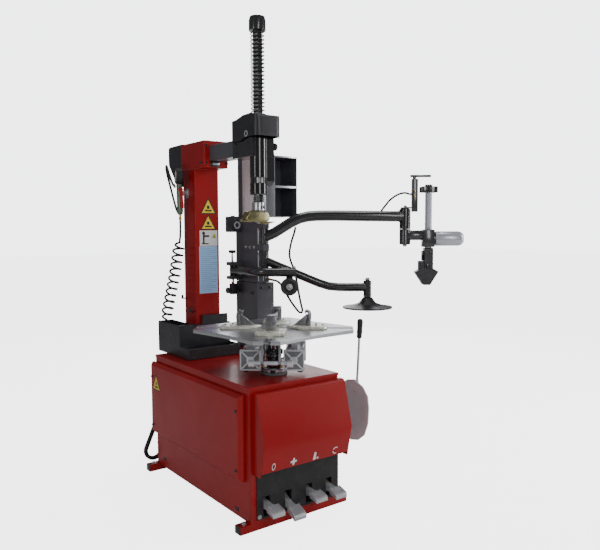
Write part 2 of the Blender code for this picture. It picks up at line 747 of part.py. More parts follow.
def make_mast_box():
    """Open-fronted box beside the mast's top, with a shelf and the plate that caps the mast."""
    outer = box((0.385, 0.535), (0.710, 0.870), (1.335, 1.664))
    plate = box((MAST_X[0], 0.50), (0.710, 0.870), (MAST_TOP + GAP, 1.668))
    rooms = [
        box((0.388, 0.532), (0.70, 0.866), (1.338, 1.494)),
        box((0.388, 0.532), (0.70, 0.866), (1.506, 1.6595)),
    ]
    return minus(union(outer, plate), *rooms)


def make_carriage():
    """Box that slides on the mast, with hinge lugs for the arms at its front and left."""
    slack, wall = 0.0006, 0.009
    low = POST_TOP + 0.0012
    outer = box((MAST_X[0] - wall, MAST_X[1] + wall), (MAST_Y[0] - wall, MAST_Y[1] + wall),
                (low, CARRIAGE_TOP), 0.002)
    x, y = ARM_PIVOT
    front = [
        box((x - 0.019, x + 0.019), (y - 0.020, MAST_Y[0] - 0.005), z, 0.002)
        for z in ((1.272, 1.304), (1.152, 1.188), (1.034, 1.058))
    ]
    front_pin = upright(cylinder(0.008, 1.045, 1.290, 16), ARM_PIVOT)
    rx, ry = ROLLER_PIVOT
    left = [
        box((rx - 0.030, MAST_X[0] - 0.005), (ry - 0.026, ry + 0.026), z, 0.002)
        for z in ((1.252, 1.338), (1.068, 1.088), (0.992, 1.010))
    ]
    left_pin = upright(cylinder(0.008, 1.000, 1.080, 16), ROLLER_PIVOT)
    room = box((MAST_X[0] - slack, MAST_X[1] + slack), (MAST_Y[0] - slack, MAST_Y[1] + slack), (0.9, 1.4))
    return minus(union(outer, *front, *left), room), front_pin, left_pin


def joined_carriage():
    body, front_pin, left_pin = make_carriage()
    return union(body, front_pin, left_pin)


def make_upper_arm():
    hub = upright(cylinder(0.020, 1.1885, 1.2715, 24), ARM_PIVOT)
    route = [
        reach(0.008, 0, 1.228), reach(0.050, 0, 1.246), reach(0.110, 0, 1.283), reach(0.165, 0, 1.315),
        reach(0.230, 0, 1.334), reach(0.345, 0, 1.338), reach(0.540, 0, 1.335),
        reach(BARREL_REACH - 0.010, 0, 1.332),
    ]
    tube = pipe(route, 0.028, 0.050, 4)
    barrel = upright(cylinder(0.029, 1.266, 1.371, 24), reach(BARREL_REACH, 0, 0))
    bore = upright(cylinder(0.0083, 1.15, 1.32, 16), ARM_PIVOT)
    socket = upright(cylinder(0.0125, 1.25, 1.39, 20), reach(BARREL_REACH, 0, 0))
    return minus(union(hub, tube, barrel), bore, socket)


def make_press_arm():
    """Swinging end of the upper arm: barrel, cross tube, screw block, handle and valve plate."""
    spot = reach(BARREL_REACH, 0, 0)
    barrel = upright(cylinder(0.029, 1.183, 1.2655, 24), spot)
    pin = upright(cylinder(0.012, 1.25, 1.374, 20), spot)
    cap = upright(cylinder(0.024, 1.3715, 1.380, 20), spot)
    tube = pipe([reach(BARREL_REACH + 0.005, 0, 1.232), reach(SCREW_REACH - 0.02, 0, 1.232)], 0.026, 0.05, 4)
    block = arm_box(SCREW_REACH - 0.033, SCREW_REACH + 0.033, 0.031, (1.170, 1.262), 0.003)
    end_x = SCREW_REACH + 0.028
    handle = turned([(0.0, 0.0), (0.0385, 0.0), (0.0385, 0.135), (0.031, 0.152), (0.016, 0.162), (0.0, 0.164)], 24)
    along_x(handle)
    turned_round(handle, ARM_HEADING, "Z")
    moved(handle, reach(end_x, 0, 1.214))
    strap = arm_box(BARREL_REACH, BARREL_REACH + 0.060, 0.009, (1.3745, 1.382))
    plate = arm_box(BARREL_REACH + 0.034, BARREL_REACH + 0.066, 0.012, (1.356, 1.529), 0.002)
    bore = upright(cylinder(0.0196, 1.15, 1.28, 24), reach(SCREW_REACH, 0, 0))
    return minus(union(barrel, pin, cap, tube, block, handle, strap, plate), bore)


def make_valve_lever():
    spot = BARREL_REACH + 0.050
    stem = arm_box(spot - 0.006, spot + 0.006, 0.006, (1.5293, 1.541))
    bar = arm_box(BARREL_REACH + 0.026, BARREL_REACH + 0.136, 0.007, (1.539, 1.549), 0.002)
    return union(stem, bar)


def star_knob(outer, inner, low, high):
    points = []
    for k in range(24):
        radius = outer if (k // 2) % 2 == 0 else inner
        angle = math.tau * k / 24
        points.append((radius * math.cos(angle), radius * math.sin(angle)))
    return prism(points, "z", low, high)


def make_press_screw():
    spot = reach(SCREW_REACH, 0, 0)
    rod = cylinder(0.019, 1.1655, 1.460, 20)
    tip = cylinder(0.0080, 1.105, 1.170, 16)
    whole = union(rod, tip, star_knob(0.050, 0.036, 1.457, 1.490), cylinder(0.020, 1.485, 1.500, 20))
    return upright(whole, spot)


def make_press_cone():
    """Presser: square stem on the screw's tip, ending in a blunt wedge."""
    stem = box((-0.024, 0.024), (-0.024, 0.024), (1.030, 1.165), 0.003)
    head = [(-0.072, 1.038), (-0.040, 1.056), (0.024, 1.056), (0.052, 1.040), (0.008, 0.969), (-0.028, 0.969)]
    wedge = prism(head, "y", -0.030, 0.030, 0.002)
    lug = box((-0.052, -0.020), (-0.018, 0.018), (1.050, 1.096), 0.002)
    whole = minus(union(stem, wedge, lug), cylinder(0.0084, 1.100, 1.20, 16))
    turned_round(whole, ARM_HEADING, "Z")
    return upright(whole, reach(SCREW_REACH, 0, 0))


def make_lower_arm():
    hub = upright(cylinder(0.020, 1.0585, 1.1515, 24), ARM_PIVOT)
    route = [
        reach(0.006, 0, 1.100), reach(0.080, 0, 1.068), reach(0.180, 0, 1.026), reach(0.270, 0, 0.988),
        reach(0.330, 0, 0.966), reach(0.390, 0, 0.958), reach(DISC_REACH, 0, 0.957),
    ]
    tube = pipe(route, 0.0225, 0.050, 4)
    end = upright(cylinder(0.021, 0.905, 0.992, 20), reach(DISC_REACH, 0, 0))
    bore = upright(cylinder(0.0083, 1.02, 1.20, 16), ARM_PIVOT)
    socket = upright(cylinder(0.0105, 0.88, 1.02, 16), reach(DISC_REACH, 0, 0))
    return minus(union(hub, tube, end), bore, socket)


def make_press_disc():
    profile = [
        (0.0, 0.845), (0.130, 0.845), (0.1326, 0.848), (0.1326, 0.853), (0.085, 0.860),
        (0.045, 0.874), (0.024, 0.902), (0.0100, 0.904), (0.0100, 0.998), (0.0, 0.998),
    ]
    return upright(turned(profile, 36), reach(DISC_REACH, 0, 0))


def roller_place(mesh):
    """Turns a solid made about Z so that its axis points at the helper's free side."""
    turned_round(mesh, math.pi / 2, "X")
    turned_round(mesh, ARM_HEADING, "Z")
    return moved(mesh, ROLLER_CENTRE)


def make_roller_arm():
    x, y = ROLLER_PIVOT
    hub = upright(cylinder(0.020, 1.0105, 1.0675, 24), ROLLER_PIVOT)
    route = [
        (x, y - 0.005, 1.040), (0.210, 0.800, 1.041), (0.206, 0.720, 1.043), (0.207, 0.650, 1.044),
        (0.222, 0.600, 1.044), reach(0.030, -0.070, 1.043), reach(0.095, -0.066, 1.042),
        reach(0.168, -0.062, 1.042),
    ]
    tube = pipe(route, 0.023, 0.030, 4)
    plate = roller_place(box((-0.018, 0.018), (-0.012, 0.080), (-0.030, -0.022)))
    axle = roller_place(cylinder(0.0080, -0.026, 0.022, 16))
    bore = upright(cylinder(0.0083, 0.98, 1.10, 16), ROLLER_PIVOT)
    return minus(union(hub, tube, plate, axle), bore)


def make_bead_roller():
    profile = [
        (0.0084, -0.0215), (0.018, -0.0215), (0.018, -0.016), (0.042, -0.016), (0.046, -0.012),
        (0.046, 0.012), (0.042, 0.016), (0.018, 0.016), (0.018, 0.020), (0.0084, 0.020),
    ]
    return roller_place(turned(profile, 28))


# ---------------------------------------------------------------- bead breaker
def make_bead_cylinder():
    profile = [(0.0, -0.190), (0.093, -0.190), (0.093, 0.060), (0.030, 0.066), (0.030, 0.080), (0.0, 0.080)]
    drum = along_x(turned(profile, 32))
    rod = along_x(cylinder(0.011, 0.07, 0.262, 16))
    return moved(union(drum, rod), (0, 0.650, 0.320))


def make_bead_arm():
    hub = upright(cylinder(0.024, 0.2305, 0.3595, 24), BEAD_PIVOT)
    px, py = BLADE_PIN
    route = [
        (0.288, 0.790, 0.300), (0.312, 0.700, 0.305), (0.350, 0.560, 0.318), (0.398, 0.400, 0.338),
        (0.430, 0.260, 0.362), (px, 0.180, 0.378), (px, py, 0.385),
    ]
    tube = pipe(route, 0.022, 0.060, 4)
    end = upright(cylinder(0.019, 0.350, 0.420, 20), BLADE_PIN)
    bore = upright(cylinder(0.0104, 0.20, 0.40, 16), BEAD_PIVOT)
    socket = upright(cylinder(0.0084, 0.33, 0.44, 16), BLADE_PIN)
    return minus(union(hub, tube, end), bore, socket)


def make_bead_blade():
    """Curved shovel that pushes the tyre off its rim, with ears and a pin for the arm."""
    outline = [
        (0.078, 0.545), (0.018, 0.520), (-0.016, 0.480), (-0.024, 0.425), (-0.018, 0.350), (0.006, 0.290),
        (0.050, 0.255), (0.100, 0.244), (0.150, 0.258), (0.194, 0.305), (0.214, 0.370), (0.210, 0.440),
        (0.180, 0.500), (0.130, 0.536),
    ]
    plate = prism(outline, "x", BLADE_X - 0.006, BLADE_X + 0.002)
    px, py = BLADE_PIN
    ears = [
        box((BLADE_X, px + 0.020), (py - 0.020, py + 0.020), z, 0.002)
        for z in ((0.330, 0.3485), (0.4215, 0.440))
    ]
    pin = upright(cylinder(0.0080, 0.340, 0.430, 16), BLADE_PIN)
    return union(plate, *ears, pin)


def make_bead_handle():
    """Long handle on the blade: a foot plate, a slim rod and a moulded grip."""
    x = BLADE_X + 0.002 + GAP
    foot = box((x, x + 0.006), (0.060, 0.096), (0.480, 0.542), 0.001)
    rod = pipe([(x + 0.006, 0.078, 0.500), (x + 0.006, 0.070, 0.570), (x + 0.004, 0.055, 0.760)], 0.006, 0.06, 2)
    grip = turned([
        (0.0, 0.0), (0.010, 0.0), (0.0135, 0.012), (0.0135, 0.079), (0.010, 0.091), (0.0, 0.094),
    ], 16)
    turned_round(grip, math.radians(4.5), "X")
    moved(grip, (x + 0.004, 0.056, 0.748))
    return union(foot, rod, grip)


# ---------------------------------------------------------------- air inflator
def make_inflator_gun():
    gauge = turned_round(along_x(cylinder(0.041, -0.018, 0.018, 28)), GAUGE_TURN, "Z")
    moved(gauge, (-0.119, 0.853, 1.543))
    body = prism(
        [(0.836, 1.360), (0.848, 1.342), (0.862, 1.342), (0.870, 1.420), (0.872, 1.515), (0.846, 1.515)],
        "x", -0.126, -0.102,
    )
    hook = box((-0.104, -COLUMN_HALF_W - GAP), (0.852, 0.864), (1.440, 1.470))
    nipple = moved(cylinder(0.006, 1.318, 1.350, 12), (-0.114, 0.855, 0))
    return union(gauge, body, hook, nipple)


def make_trigger():
    """Squeeze lever in front of the gun's body."""
    outline = [(0.826, 1.380), (0.832, 1.376), (0.8415, 1.470), (0.8415, 1.482), (0.835, 1.482)]
    return prism(outline, "x", -0.121, -0.107)


# ---------------------------------------------------------------- hoses and cable
WHIP_ROUTE = [
    (-0.1300, 0.8800, 1.4900), (-0.1330, 0.9000, 1.5080), (-0.1340, 0.9300, 1.5500),
    (-0.1330, 0.9560, 1.5900), (-0.1290, 0.9760, 1.6050), (-0.1240, 0.9900, 1.5950),
    (-0.1220, 0.9850, 1.5650), (-0.1200, 0.9500, 1.4900), (-0.1180, 0.9000, 1.3900),
    (-0.1160, 0.8760, 1.3560),
]
CURLY_ROUTE = [
    (-0.1140, 0.8550, 1.3160), (-0.1140, 0.8550, 1.2700), (-0.1150, 0.8570, 1.2300),
    (-0.1170, 0.8630, 1.2000), (-0.1200, 0.8760, 1.1500), (-0.1260, 0.9000, 1.0500),
    (-0.1330, 0.9300, 0.9500), (-0.1400, 0.9600, 0.8600), (-0.1440, 0.9760, 0.8050),
    (-0.1450, 0.9800, 0.7700), (-0.1390, 0.9730, 0.7480), (-0.1300, 0.9605, 0.7250),
    (-0.1290, 0.9590, 0.7004),
]
HELPER_ROUTE = [
    reach(0.166, 0.004, 1.2780), reach(0.158, 0.010, 1.2450), reach(0.145, 0.024, 1.2050),
    reach(0.134, 0.042, 1.1550), reach(0.133, 0.054, 1.1200), reach(0.142, 0.062, 1.0850),
    reach(0.158, 0.066, 1.0450), reach(0.170, 0.062, 0.9900), reach(0.180, 0.052, 0.9300),
    reach(0.193, 0.038, 0.8650), reach(0.201, 0.028, 0.8320), reach(0.196, 0.020, 0.8180),
    reach(0.184, 0.016, 0.8220), reach(0.164, 0.016, 0.8450), reach(0.136, 0.020, 0.8850),
    reach(0.110, 0.028, 0.9300), reach(0.090, 0.040, 0.9640), reach(0.066, 0.054, 0.9860),
    (0.3290, 0.6740, 0.9945), (0.3292, 0.6900, 0.9950),
]
POWER_ROUTE = [
    (-0.1160, 0.9283, 0.3450), (-0.1160, 0.9480, 0.3445), (-0.1158, 0.9680, 0.3370),
    (-0.1150, 0.9850, 0.3190), (-0.1135, 0.9910, 0.2950), (-0.1115, 0.9905, 0.2650),
    (-0.1045, 0.9900, 0.2330), (-0.1096, 0.9900, 0.1970),
]


def coil_place(mesh):
    """Moves a solid made about the coil's middle, its runs along Z, to its leaning place."""
    return moved(turned_round(mesh, COIL_LEAN, "Y"), COIL_CENTRE)


def stadium(radius, steps=10):
    """Two straight runs joined by half circles, in (X, Z)."""
    points = []
    for end, start in ((1, 0.0), (-1, math.pi)):
        for k in range(steps + 1):
            angle = start + math.pi * k / steps
            points.append((radius * math.cos(angle), end * COIL_RUN / 2 + radius * math.sin(angle)))
    return points


def make_power_coil():
    thick = 2 * CABLE_RADIUS
    outer = prism(stadium(COIL_BEND + thick), "y", -thick, thick)
    inner = prism(stadium(COIL_BEND - thick), "y", -2 * thick, 2 * thick)
    return coil_place(minus(outer, inner))


def make_power_plug():
    """Round plug with two pins, tucked inside the coil beside its right run."""
    profile = [
        (0.0, 0.050), (0.0055, 0.050), (0.0075, 0.026), (0.0165, 0.022), (0.0175, -0.018), (0.0, -0.018),
    ]
    body = turned(profile, 20)
    pins = [moved(cylinder(0.0024, -0.037, -0.015, 10), (x, 0, 0)) for x in (-0.0095, 0.0095)]
    middle = COIL_BEND - 2 * CABLE_RADIUS - 0.0175 - GAP
    return coil_place(moved(union(body, *pins), (middle, 0.0, 0.0)))


def make_curly_hose():
    """Straight drop, the coiled stretch as one fat tube, and the tail down into the tray's bin."""
    points = smooth_route(CURLY_ROUTE, 0.013)
    swell = []
    for point in points:
        coiled = 0.790 < point.z < 1.195
        swell.append(0.0315 if coiled else 0.0045)
    return pipe_curve("curly_hose", points, 1.0, 2, swell)


# ---------------------------------------------------------------- assembly
def clear_scene():
    for obj in list(bpy.data.objects):
        bpy.data.objects.remove(obj)


def build_frame():
    place("cabinet", make_cabinet(), PAINT_RED)
    place("side_cover", make_side_cover(), PAINT_RED)
    place("front_cover", make_front_cover(), PAINT_RED)
    place("pedal_panel", make_pedal_panel(), PAINT_BLACK)
    place("front_foot_rail", make_foot_rail(0.003), PAINT_RED)
    place("rear_foot_rail", make_foot_rail(0.900), PAINT_RED)
    place("wheel_pad", make_wheel_pad(), RUBBER)
    place("pedal_bracket", make_pedal_bracket(), ZINC)
    place("motor", make_motor(), CAST_GREY)
    place("gearbox", make_gearbox(), CAST_GREY)
    place("tool_tray", make_tray(), PLASTIC_BLACK)
    place("column_base", make_column_base(), PAINT_BLACK)
    place("bead_cylinder", make_bead_cylinder(), ALUMINIUM)
    for number in range(4):
        spot = (PEDAL_X[number], *PEDAL_AXIS)
        place("pedal_%d" % (number + 1), make_pedal(number), ALUMINIUM, spot)
    place("gearbox_pulley", make_pulley(0.100, 0.0104, WORM_AXIS), ALUMINIUM, (PULLEY_X, *WORM_AXIS))


def build_turntable():
    axis = (*TABLE_AXIS, TABLE_TOP)
    place("turntable_shaft", make_table_shaft(), STEEL, axis)
    place("turntable_plate", make_table_plate(), STEEL, axis)
    place("chuck_cylinder_left", make_chuck_cylinder(-1), ALUMINIUM, axis)
    place("chuck_cylinder_right", make_chuck_cylinder(1), ALUMINIUM, axis)
    for arm in range(4):
        place("jaw_%d" % (arm + 1), make_jaw(arm), ZINC, axis)


def build_column():
    pivot = (0.0, TILT_Y, TILT_Z)
    place("tilt_column", make_column(), PAINT_RED, pivot)
    place("arm_sleeve", make_sleeve(), PAINT_RED, pivot)
    place("sleeve_cover", make_sleeve_cover(), PLASTIC_BLACK, pivot)
    beam_end = (0.0, HEAD_BACK, BEAM_LOW)
    place("horizontal_beam", make_beam(), PAINT_BLACK, beam_end)
    place("head_housing", make_head_housing(), PAINT_BLACK, beam_end)
    place("head_cover", make_head_cover(), PLASTIC_BLACK, beam_end)
    place("lock_knob", make_lock_knob(), PLASTIC_BLACK, (0.0743, 0.282, 1.648))
    shaft = (0.0, SHAFT_Y, CLAMP_BOTTOM)
    place("hex_shaft", make_hex_shaft(), PAINT_BLACK, shaft)
    place("mount_head", make_mount_head(), BRONZE, shaft)
    place("return_spring", make_spring(), PAINT_BLACK)
    place("inflator_gun", make_inflator_gun(), GREEN, pivot)
    place("inflator_trigger", make_trigger(), PAINT_RED, (-0.114, 0.8385, 1.480))


def build_helper():
    place("helper_post", make_helper_post(), PAINT_BLACK)
    place("helper_mast", make_mast(), ZINC)
    place("mast_box", make_mast_box(), PAINT_BLACK)
    place("helper_carriage", joined_carriage(), PAINT_BLACK)
    place("upper_arm", make_upper_arm(), PAINT_BLACK, (*ARM_PIVOT, 1.226))
    place("press_arm", make_press_arm(), PAINT_BLACK, reach(BARREL_REACH, 0, 1.232))
    place("valve_lever", make_valve_lever(), PAINT_BLACK, reach(BARREL_REACH + 0.050, 0, 1.530))
    place("press_screw", make_press_screw(), STEEL, reach(SCREW_REACH, 0, 1.165))
    place("press_cone", make_press_cone(), PLASTIC_BLACK, reach(SCREW_REACH, 0, 1.165))
    place("lower_arm", make_lower_arm(), PAINT_BLACK, (*ARM_PIVOT, 1.105))
    place("press_disc", make_press_disc(), PLASTIC_BLACK, reach(DISC_REACH, 0, 0.904))
    place("roller_arm", make_roller_arm(), PAINT_BLACK, (*ROLLER_PIVOT, 1.040))
    place("bead_roller", make_bead_roller(), PLASTIC_BLACK, ROLLER_CENTRE)


def build_bead_breaker():
    place("bead_arm", make_bead_arm(), PAINT_BLACK, (*BEAD_PIVOT, 0.295))
    place("bead_blade", make_bead_blade(), ZINC, (*BLADE_PIN, 0.385))
    place("bead_handle", make_bead_handle(), PAINT_BLACK, (*BLADE_PIN, 0.385))


def build_hoses():
    place("whip_hose", pipe_curve("whip_hose", smooth_route(WHIP_ROUTE, 0.012), 0.0045), RUBBER)
    place("curly_hose", make_curly_hose(), RUBBER)
    place("helper_hose", pipe_curve("helper_hose", smooth_route(HELPER_ROUTE, 0.016), 0.005), RUBBER)
    cable = pipe_curve("power_cable", smooth_route(POWER_ROUTE, 0.012), CABLE_RADIUS)
    place("power_cable", cable, RUBBER)
    place("power_coil", make_power_coil(), RUBBER)
    place("power_plug", make_power_plug(), PLASTIC_BLACK)


def main():
    clear_scene()
    machine = bpy.data.objects.new("machine", None)
    machine.location = (-FOOTPRINT_CENTRE[0], -FOOTPRINT_CENTRE[1], 0.0)
    bpy.context.scene.collection.objects.link(machine)
    build_frame()
    build_turntable()
    build_column()
    build_helper()
    build_bead_breaker()
    build_hoses()


main()
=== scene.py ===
import math

import bmesh
import bpy
from mathutils import Matrix, Vector


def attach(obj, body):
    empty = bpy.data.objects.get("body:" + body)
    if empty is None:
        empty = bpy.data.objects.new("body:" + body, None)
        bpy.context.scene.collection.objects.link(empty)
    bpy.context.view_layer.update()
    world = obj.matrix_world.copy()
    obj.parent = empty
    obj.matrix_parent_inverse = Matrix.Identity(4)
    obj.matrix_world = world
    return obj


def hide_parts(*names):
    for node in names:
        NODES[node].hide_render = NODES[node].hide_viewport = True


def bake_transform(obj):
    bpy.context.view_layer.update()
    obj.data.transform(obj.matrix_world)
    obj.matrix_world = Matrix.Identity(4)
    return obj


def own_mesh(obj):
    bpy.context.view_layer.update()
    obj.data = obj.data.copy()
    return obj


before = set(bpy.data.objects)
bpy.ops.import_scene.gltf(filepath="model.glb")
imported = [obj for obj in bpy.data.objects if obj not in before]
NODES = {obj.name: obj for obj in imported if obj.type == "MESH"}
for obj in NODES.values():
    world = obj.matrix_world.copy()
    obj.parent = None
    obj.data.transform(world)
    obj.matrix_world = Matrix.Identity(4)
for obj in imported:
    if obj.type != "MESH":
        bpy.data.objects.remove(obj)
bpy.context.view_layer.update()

# The places below are in the machine's own frame: X = 0 on the cabinet's centre line and Y = 0 at
# its front. HOME carries that frame to the row frame.
HOME = Vector((-0.4087, -0.4635, 0.0))
TABLE_AXIS = Vector((0.0, 0.168, 0.0))
TABLE_TURN = math.radians(230.8)
ARM_PIVOT = Vector((0.27, 0.645, 0.0))
ARM_HEADING = math.radians(-36.9)
BARREL_REACH = 0.746
SCREW_REACH = 0.87
DISC_REACH = 0.548
SHAFT_Y = 0.285
COIL_CENTRE = Vector((-0.197, 0.99, 0.152))
COIL_LEAN = math.radians(24.0)


# ---------------------------------------------------------------- camera and lights
CAMERA_SPOT = Vector((-1.6456, -2.2226, 1.2669))
CAMERA_HEADING, CAMERA_DIP, CAMERA_ROLL = -36.88, 4.05, -0.23
LENS_MM = 38.852


def look(name, data, spot, target):
    made = bpy.data.objects.new(name, data)
    made.location = spot
    made.rotation_euler = (Vector(target) - Vector(spot)).to_track_quat("-Z", "Y").to_euler()
    bpy.context.scene.collection.objects.link(made)
    return made


def make_camera():
    data = bpy.data.cameras.new("camera")
    data.sensor_width = 36.0
    data.lens = LENS_MM
    data.dof.use_dof = False
    camera = bpy.data.objects.new("camera", data)
    heading = Matrix.Rotation(math.radians(CAMERA_HEADING), 4, "Z")
    dip = Matrix.Rotation(math.radians(90 - CAMERA_DIP), 4, "X")
    roll = Matrix.Rotation(math.radians(CAMERA_ROLL), 4, "Z")
    turn = heading @ dip @ roll
    camera.matrix_world = Matrix.Translation(CAMERA_SPOT + HOME) @ turn
    bpy.context.scene.collection.objects.link(camera)
    bpy.context.scene.camera = camera


def area_light(name, spot, target, size, watts):
    data = bpy.data.lights.new(name, "AREA")
    data.shape = "RECTANGLE"
    data.size, data.size_y = size
    data.energy = watts
    look(name, data, spot, target).visible_camera = False


def bright_to_camera(tree, lit, shown):
    """A value that is one number for camera rays and another for light that reaches the object."""
    path = tree.nodes.new("ShaderNodeLightPath")
    pick = tree.nodes.new("ShaderNodeMapRange")
    pick.inputs["To Min"].default_value = lit
    pick.inputs["To Max"].default_value = shown
    tree.links.new(path.outputs["Is Camera Ray"], pick.inputs["Value"])
    return pick.outputs["Result"]


def make_studio():
    world = bpy.data.worlds.new("studio")
    bpy.context.scene.world = world
    world.use_nodes = True
    sky = world.node_tree.nodes["Background"]
    sky.inputs["Color"].default_value = (0.97, 0.98, 1.0, 1.0)
    world.node_tree.links.new(bright_to_camera(world.node_tree, 0.16, 4.2), sky.inputs["Strength"])
    area_light("key_light", (-1.4, -4.2, 2.4), (0, 0, 0.8), (0.9, 2.6), 46)
    area_light("side_light", (3.4, -2.4, 1.9), (0, 0, 1.0), (0.7, 2.8), 85)
    area_light("left_light", (-4.4, -0.8, 2.2), (0, 0, 0.9), (0.6, 2.4), 26)
    area_light("back_light", (2.6, 3.6, 2.2), (0, 0, 1.1), (2.4, 2.6), 45)
    area_light("top_light", (0.2, 0.3, 4.4), (0, 0, 1.0), (1.8, 1.8), 45)
    floor = bpy.data.objects.new("floor", sheet_mesh(30.0))
    white = plain_material("floor_white", (0.8, 0.8, 0.8), 0.9)
    shader = white.node_tree.nodes["Principled BSDF"]
    shader.inputs["Emission Color"].default_value = (1.0, 1.0, 1.0, 1.0)
    white.node_tree.links.new(
        bright_to_camera(white.node_tree, 0.05, 3.7), shader.inputs["Emission Strength"])
    floor.data.materials.append(white)
    bpy.context.scene.collection.objects.link(floor)
    floor.location.z = -0.0005


def sheet_mesh(half):
    bm = bmesh.new()
    corners = ((-half, -half), (half, -half), (half, half), (-half, half))
    bm.faces.new([bm.verts.new((x, y, 0)) for x, y in corners])
    mesh = bpy.data.meshes.new("sheet")
    bm.to_mesh(mesh)
    bm.free()
    return mesh


# ---------------------------------------------------------------- materials
def plain_material(name, colour, roughness):
    made = bpy.data.materials.new(name)
    made.use_nodes = True
    shader = made.node_tree.nodes["Principled BSDF"]
    shader.inputs["Base Color"].default_value = (*colour, 1.0)
    shader.inputs["Roughness"].default_value = roughness
    return made


class Surface:
    """A Principled material with its node tree open for detail."""

    def __init__(self, name, colour, roughness, metallic=0.0, coat=0.0, coat_roughness=0.05):
        self.material = bpy.data.materials.new(name)
        self.material.use_nodes = True
        self.tree = self.material.node_tree
        self.shader = self.tree.nodes["Principled BSDF"]
        self.set("Metallic", metallic)
        self.set("Coat Weight", coat)
        self.set("Coat Roughness", coat_roughness)
        self.coords = self.tree.nodes.new("ShaderNodeTexCoord").outputs["Object"]
        self.colour = self.rgb(colour)
        self.roughness = roughness
        self.heights = []

    def set(self, socket, value):
        self.shader.inputs[socket].default_value = value

    def rgb(self, colour):
        node = self.tree.nodes.new("ShaderNodeRGB")
        node.outputs[0].default_value = (*colour, 1.0)
        return node.outputs[0]

    def noise(self, scale, detail=3.0, stretch=(1, 1, 1), kind="ShaderNodeTexNoise"):
        spread = self.tree.nodes.new("ShaderNodeMapping")
        spread.inputs["Scale"].default_value = stretch
        self.tree.links.new(self.coords, spread.inputs["Vector"])
        node = self.tree.nodes.new(kind)
        node.inputs["Scale"].default_value = scale
        if "Detail" in node.inputs:
            node.inputs["Detail"].default_value = detail
        self.tree.links.new(spread.outputs["Vector"], node.inputs["Vector"])
        return node.outputs[0] if kind == "ShaderNodeTexNoise" else node.outputs["Distance"]

    def span(self, value, low, high, to_low=0.0, to_high=1.0):
        node = self.tree.nodes.new("ShaderNodeMapRange")
        for socket, number in zip(
            ("From Min", "From Max", "To Min", "To Max"), (low, high, to_low, to_high)):
            node.inputs[socket].default_value = number
        self.tree.links.new(value, node.inputs["Value"])
        return node.outputs["Result"]

    def tint(self, mask, colour, share=1.0):
        """Mixes a colour in where the mask is high."""
        mix = self.tree.nodes.new("ShaderNodeMix")
        mix.data_type = "RGBA"
        scaled = self.span(mask, 0.0, 1.0, 0.0, share)
        self.tree.links.new(scaled, mix.inputs["Factor"])
        self.tree.links.new(self.colour, mix.inputs["A"])
        self.tree.links.new(self.rgb(colour), mix.inputs["B"])
        self.colour = mix.outputs["Result"]
        return self

    def stain(self, scale, detail, low, high, colour, share, kind="ShaderNodeTexNoise"):
        """Clouds of another colour, from a noise between two levels."""
        return self.tint(self.span(self.noise(scale, detail, kind=kind), low, high), colour, share)

    def edges(self, colour, share, low=0.53, high=0.6):
        """Wear on the outer edges, and a painted highlight: the convex edges are tinted lighter."""
        geometry = self.tree.nodes.new("ShaderNodeNewGeometry")
        return self.tint(self.span(geometry.outputs["Pointiness"], low, high), colour, share)

    def grain(self, scale, strength, detail=3.0, stretch=(1, 1, 1), kind="ShaderNodeTexNoise"):
        self.heights.append((self.noise(scale, detail, stretch, kind), strength))
        return self

    def rough(self, scale, spread, stretch=(1, 1, 1)):
        value = self.noise(scale, 4.0, stretch)
        low, high = self.roughness - spread, self.roughness + spread
        self.tree.links.new(self.span(value, 0.3, 0.7, low, high), self.shader.inputs["Roughness"])
        return self

    def done(self):
        self.tree.links.new(self.colour, self.shader.inputs["Base Color"])
        if not self.shader.inputs["Roughness"].is_linked:
            self.set("Roughness", self.roughness)
        normal = None
        for height, strength in self.heights:
            bump = self.tree.nodes.new("ShaderNodeBump")
            bump.inputs["Strength"].default_value = strength
            bump.inputs["Distance"].default_value = 0.001
            self.tree.links.new(height, bump.inputs["Height"])
            if normal:
                self.tree.links.new(normal, bump.inputs["Normal"])
            normal = bump.outputs["Normal"]
        if normal:
            self.tree.links.new(normal, self.shader.inputs["Normal"])
        return self.material


def painted(name, colour, roughness, specular, coat, shade, edge_wear_and_highlight):
    """Sprayed enamel: a slow drift of tone, fine orange peel, edges lightened by wear and painted
    highlight.
    """
    made = Surface(name, colour, roughness, 0.0, coat, 0.08)
    made.set("Specular IOR Level", specular)
    made.stain(3.5, 2.0, 0.35, 0.7, shade, 0.45)
    made.edges(edge_wear_and_highlight, 0.3)
    return made.rough(7.0, 0.04).grain(650.0, 0.02).done()


def brushed(name, colour, roughness, stretch, strength=0.08, dirt=(0.25, 0.25, 0.26)):
    made = Surface(name, colour, roughness, 1.0)
    made.stain(7.0, 4.0, 0.5, 0.8, dirt, 0.12)
    return made.rough(12.0, 0.04, stretch).grain(300.0, strength, 2.0, stretch).done()


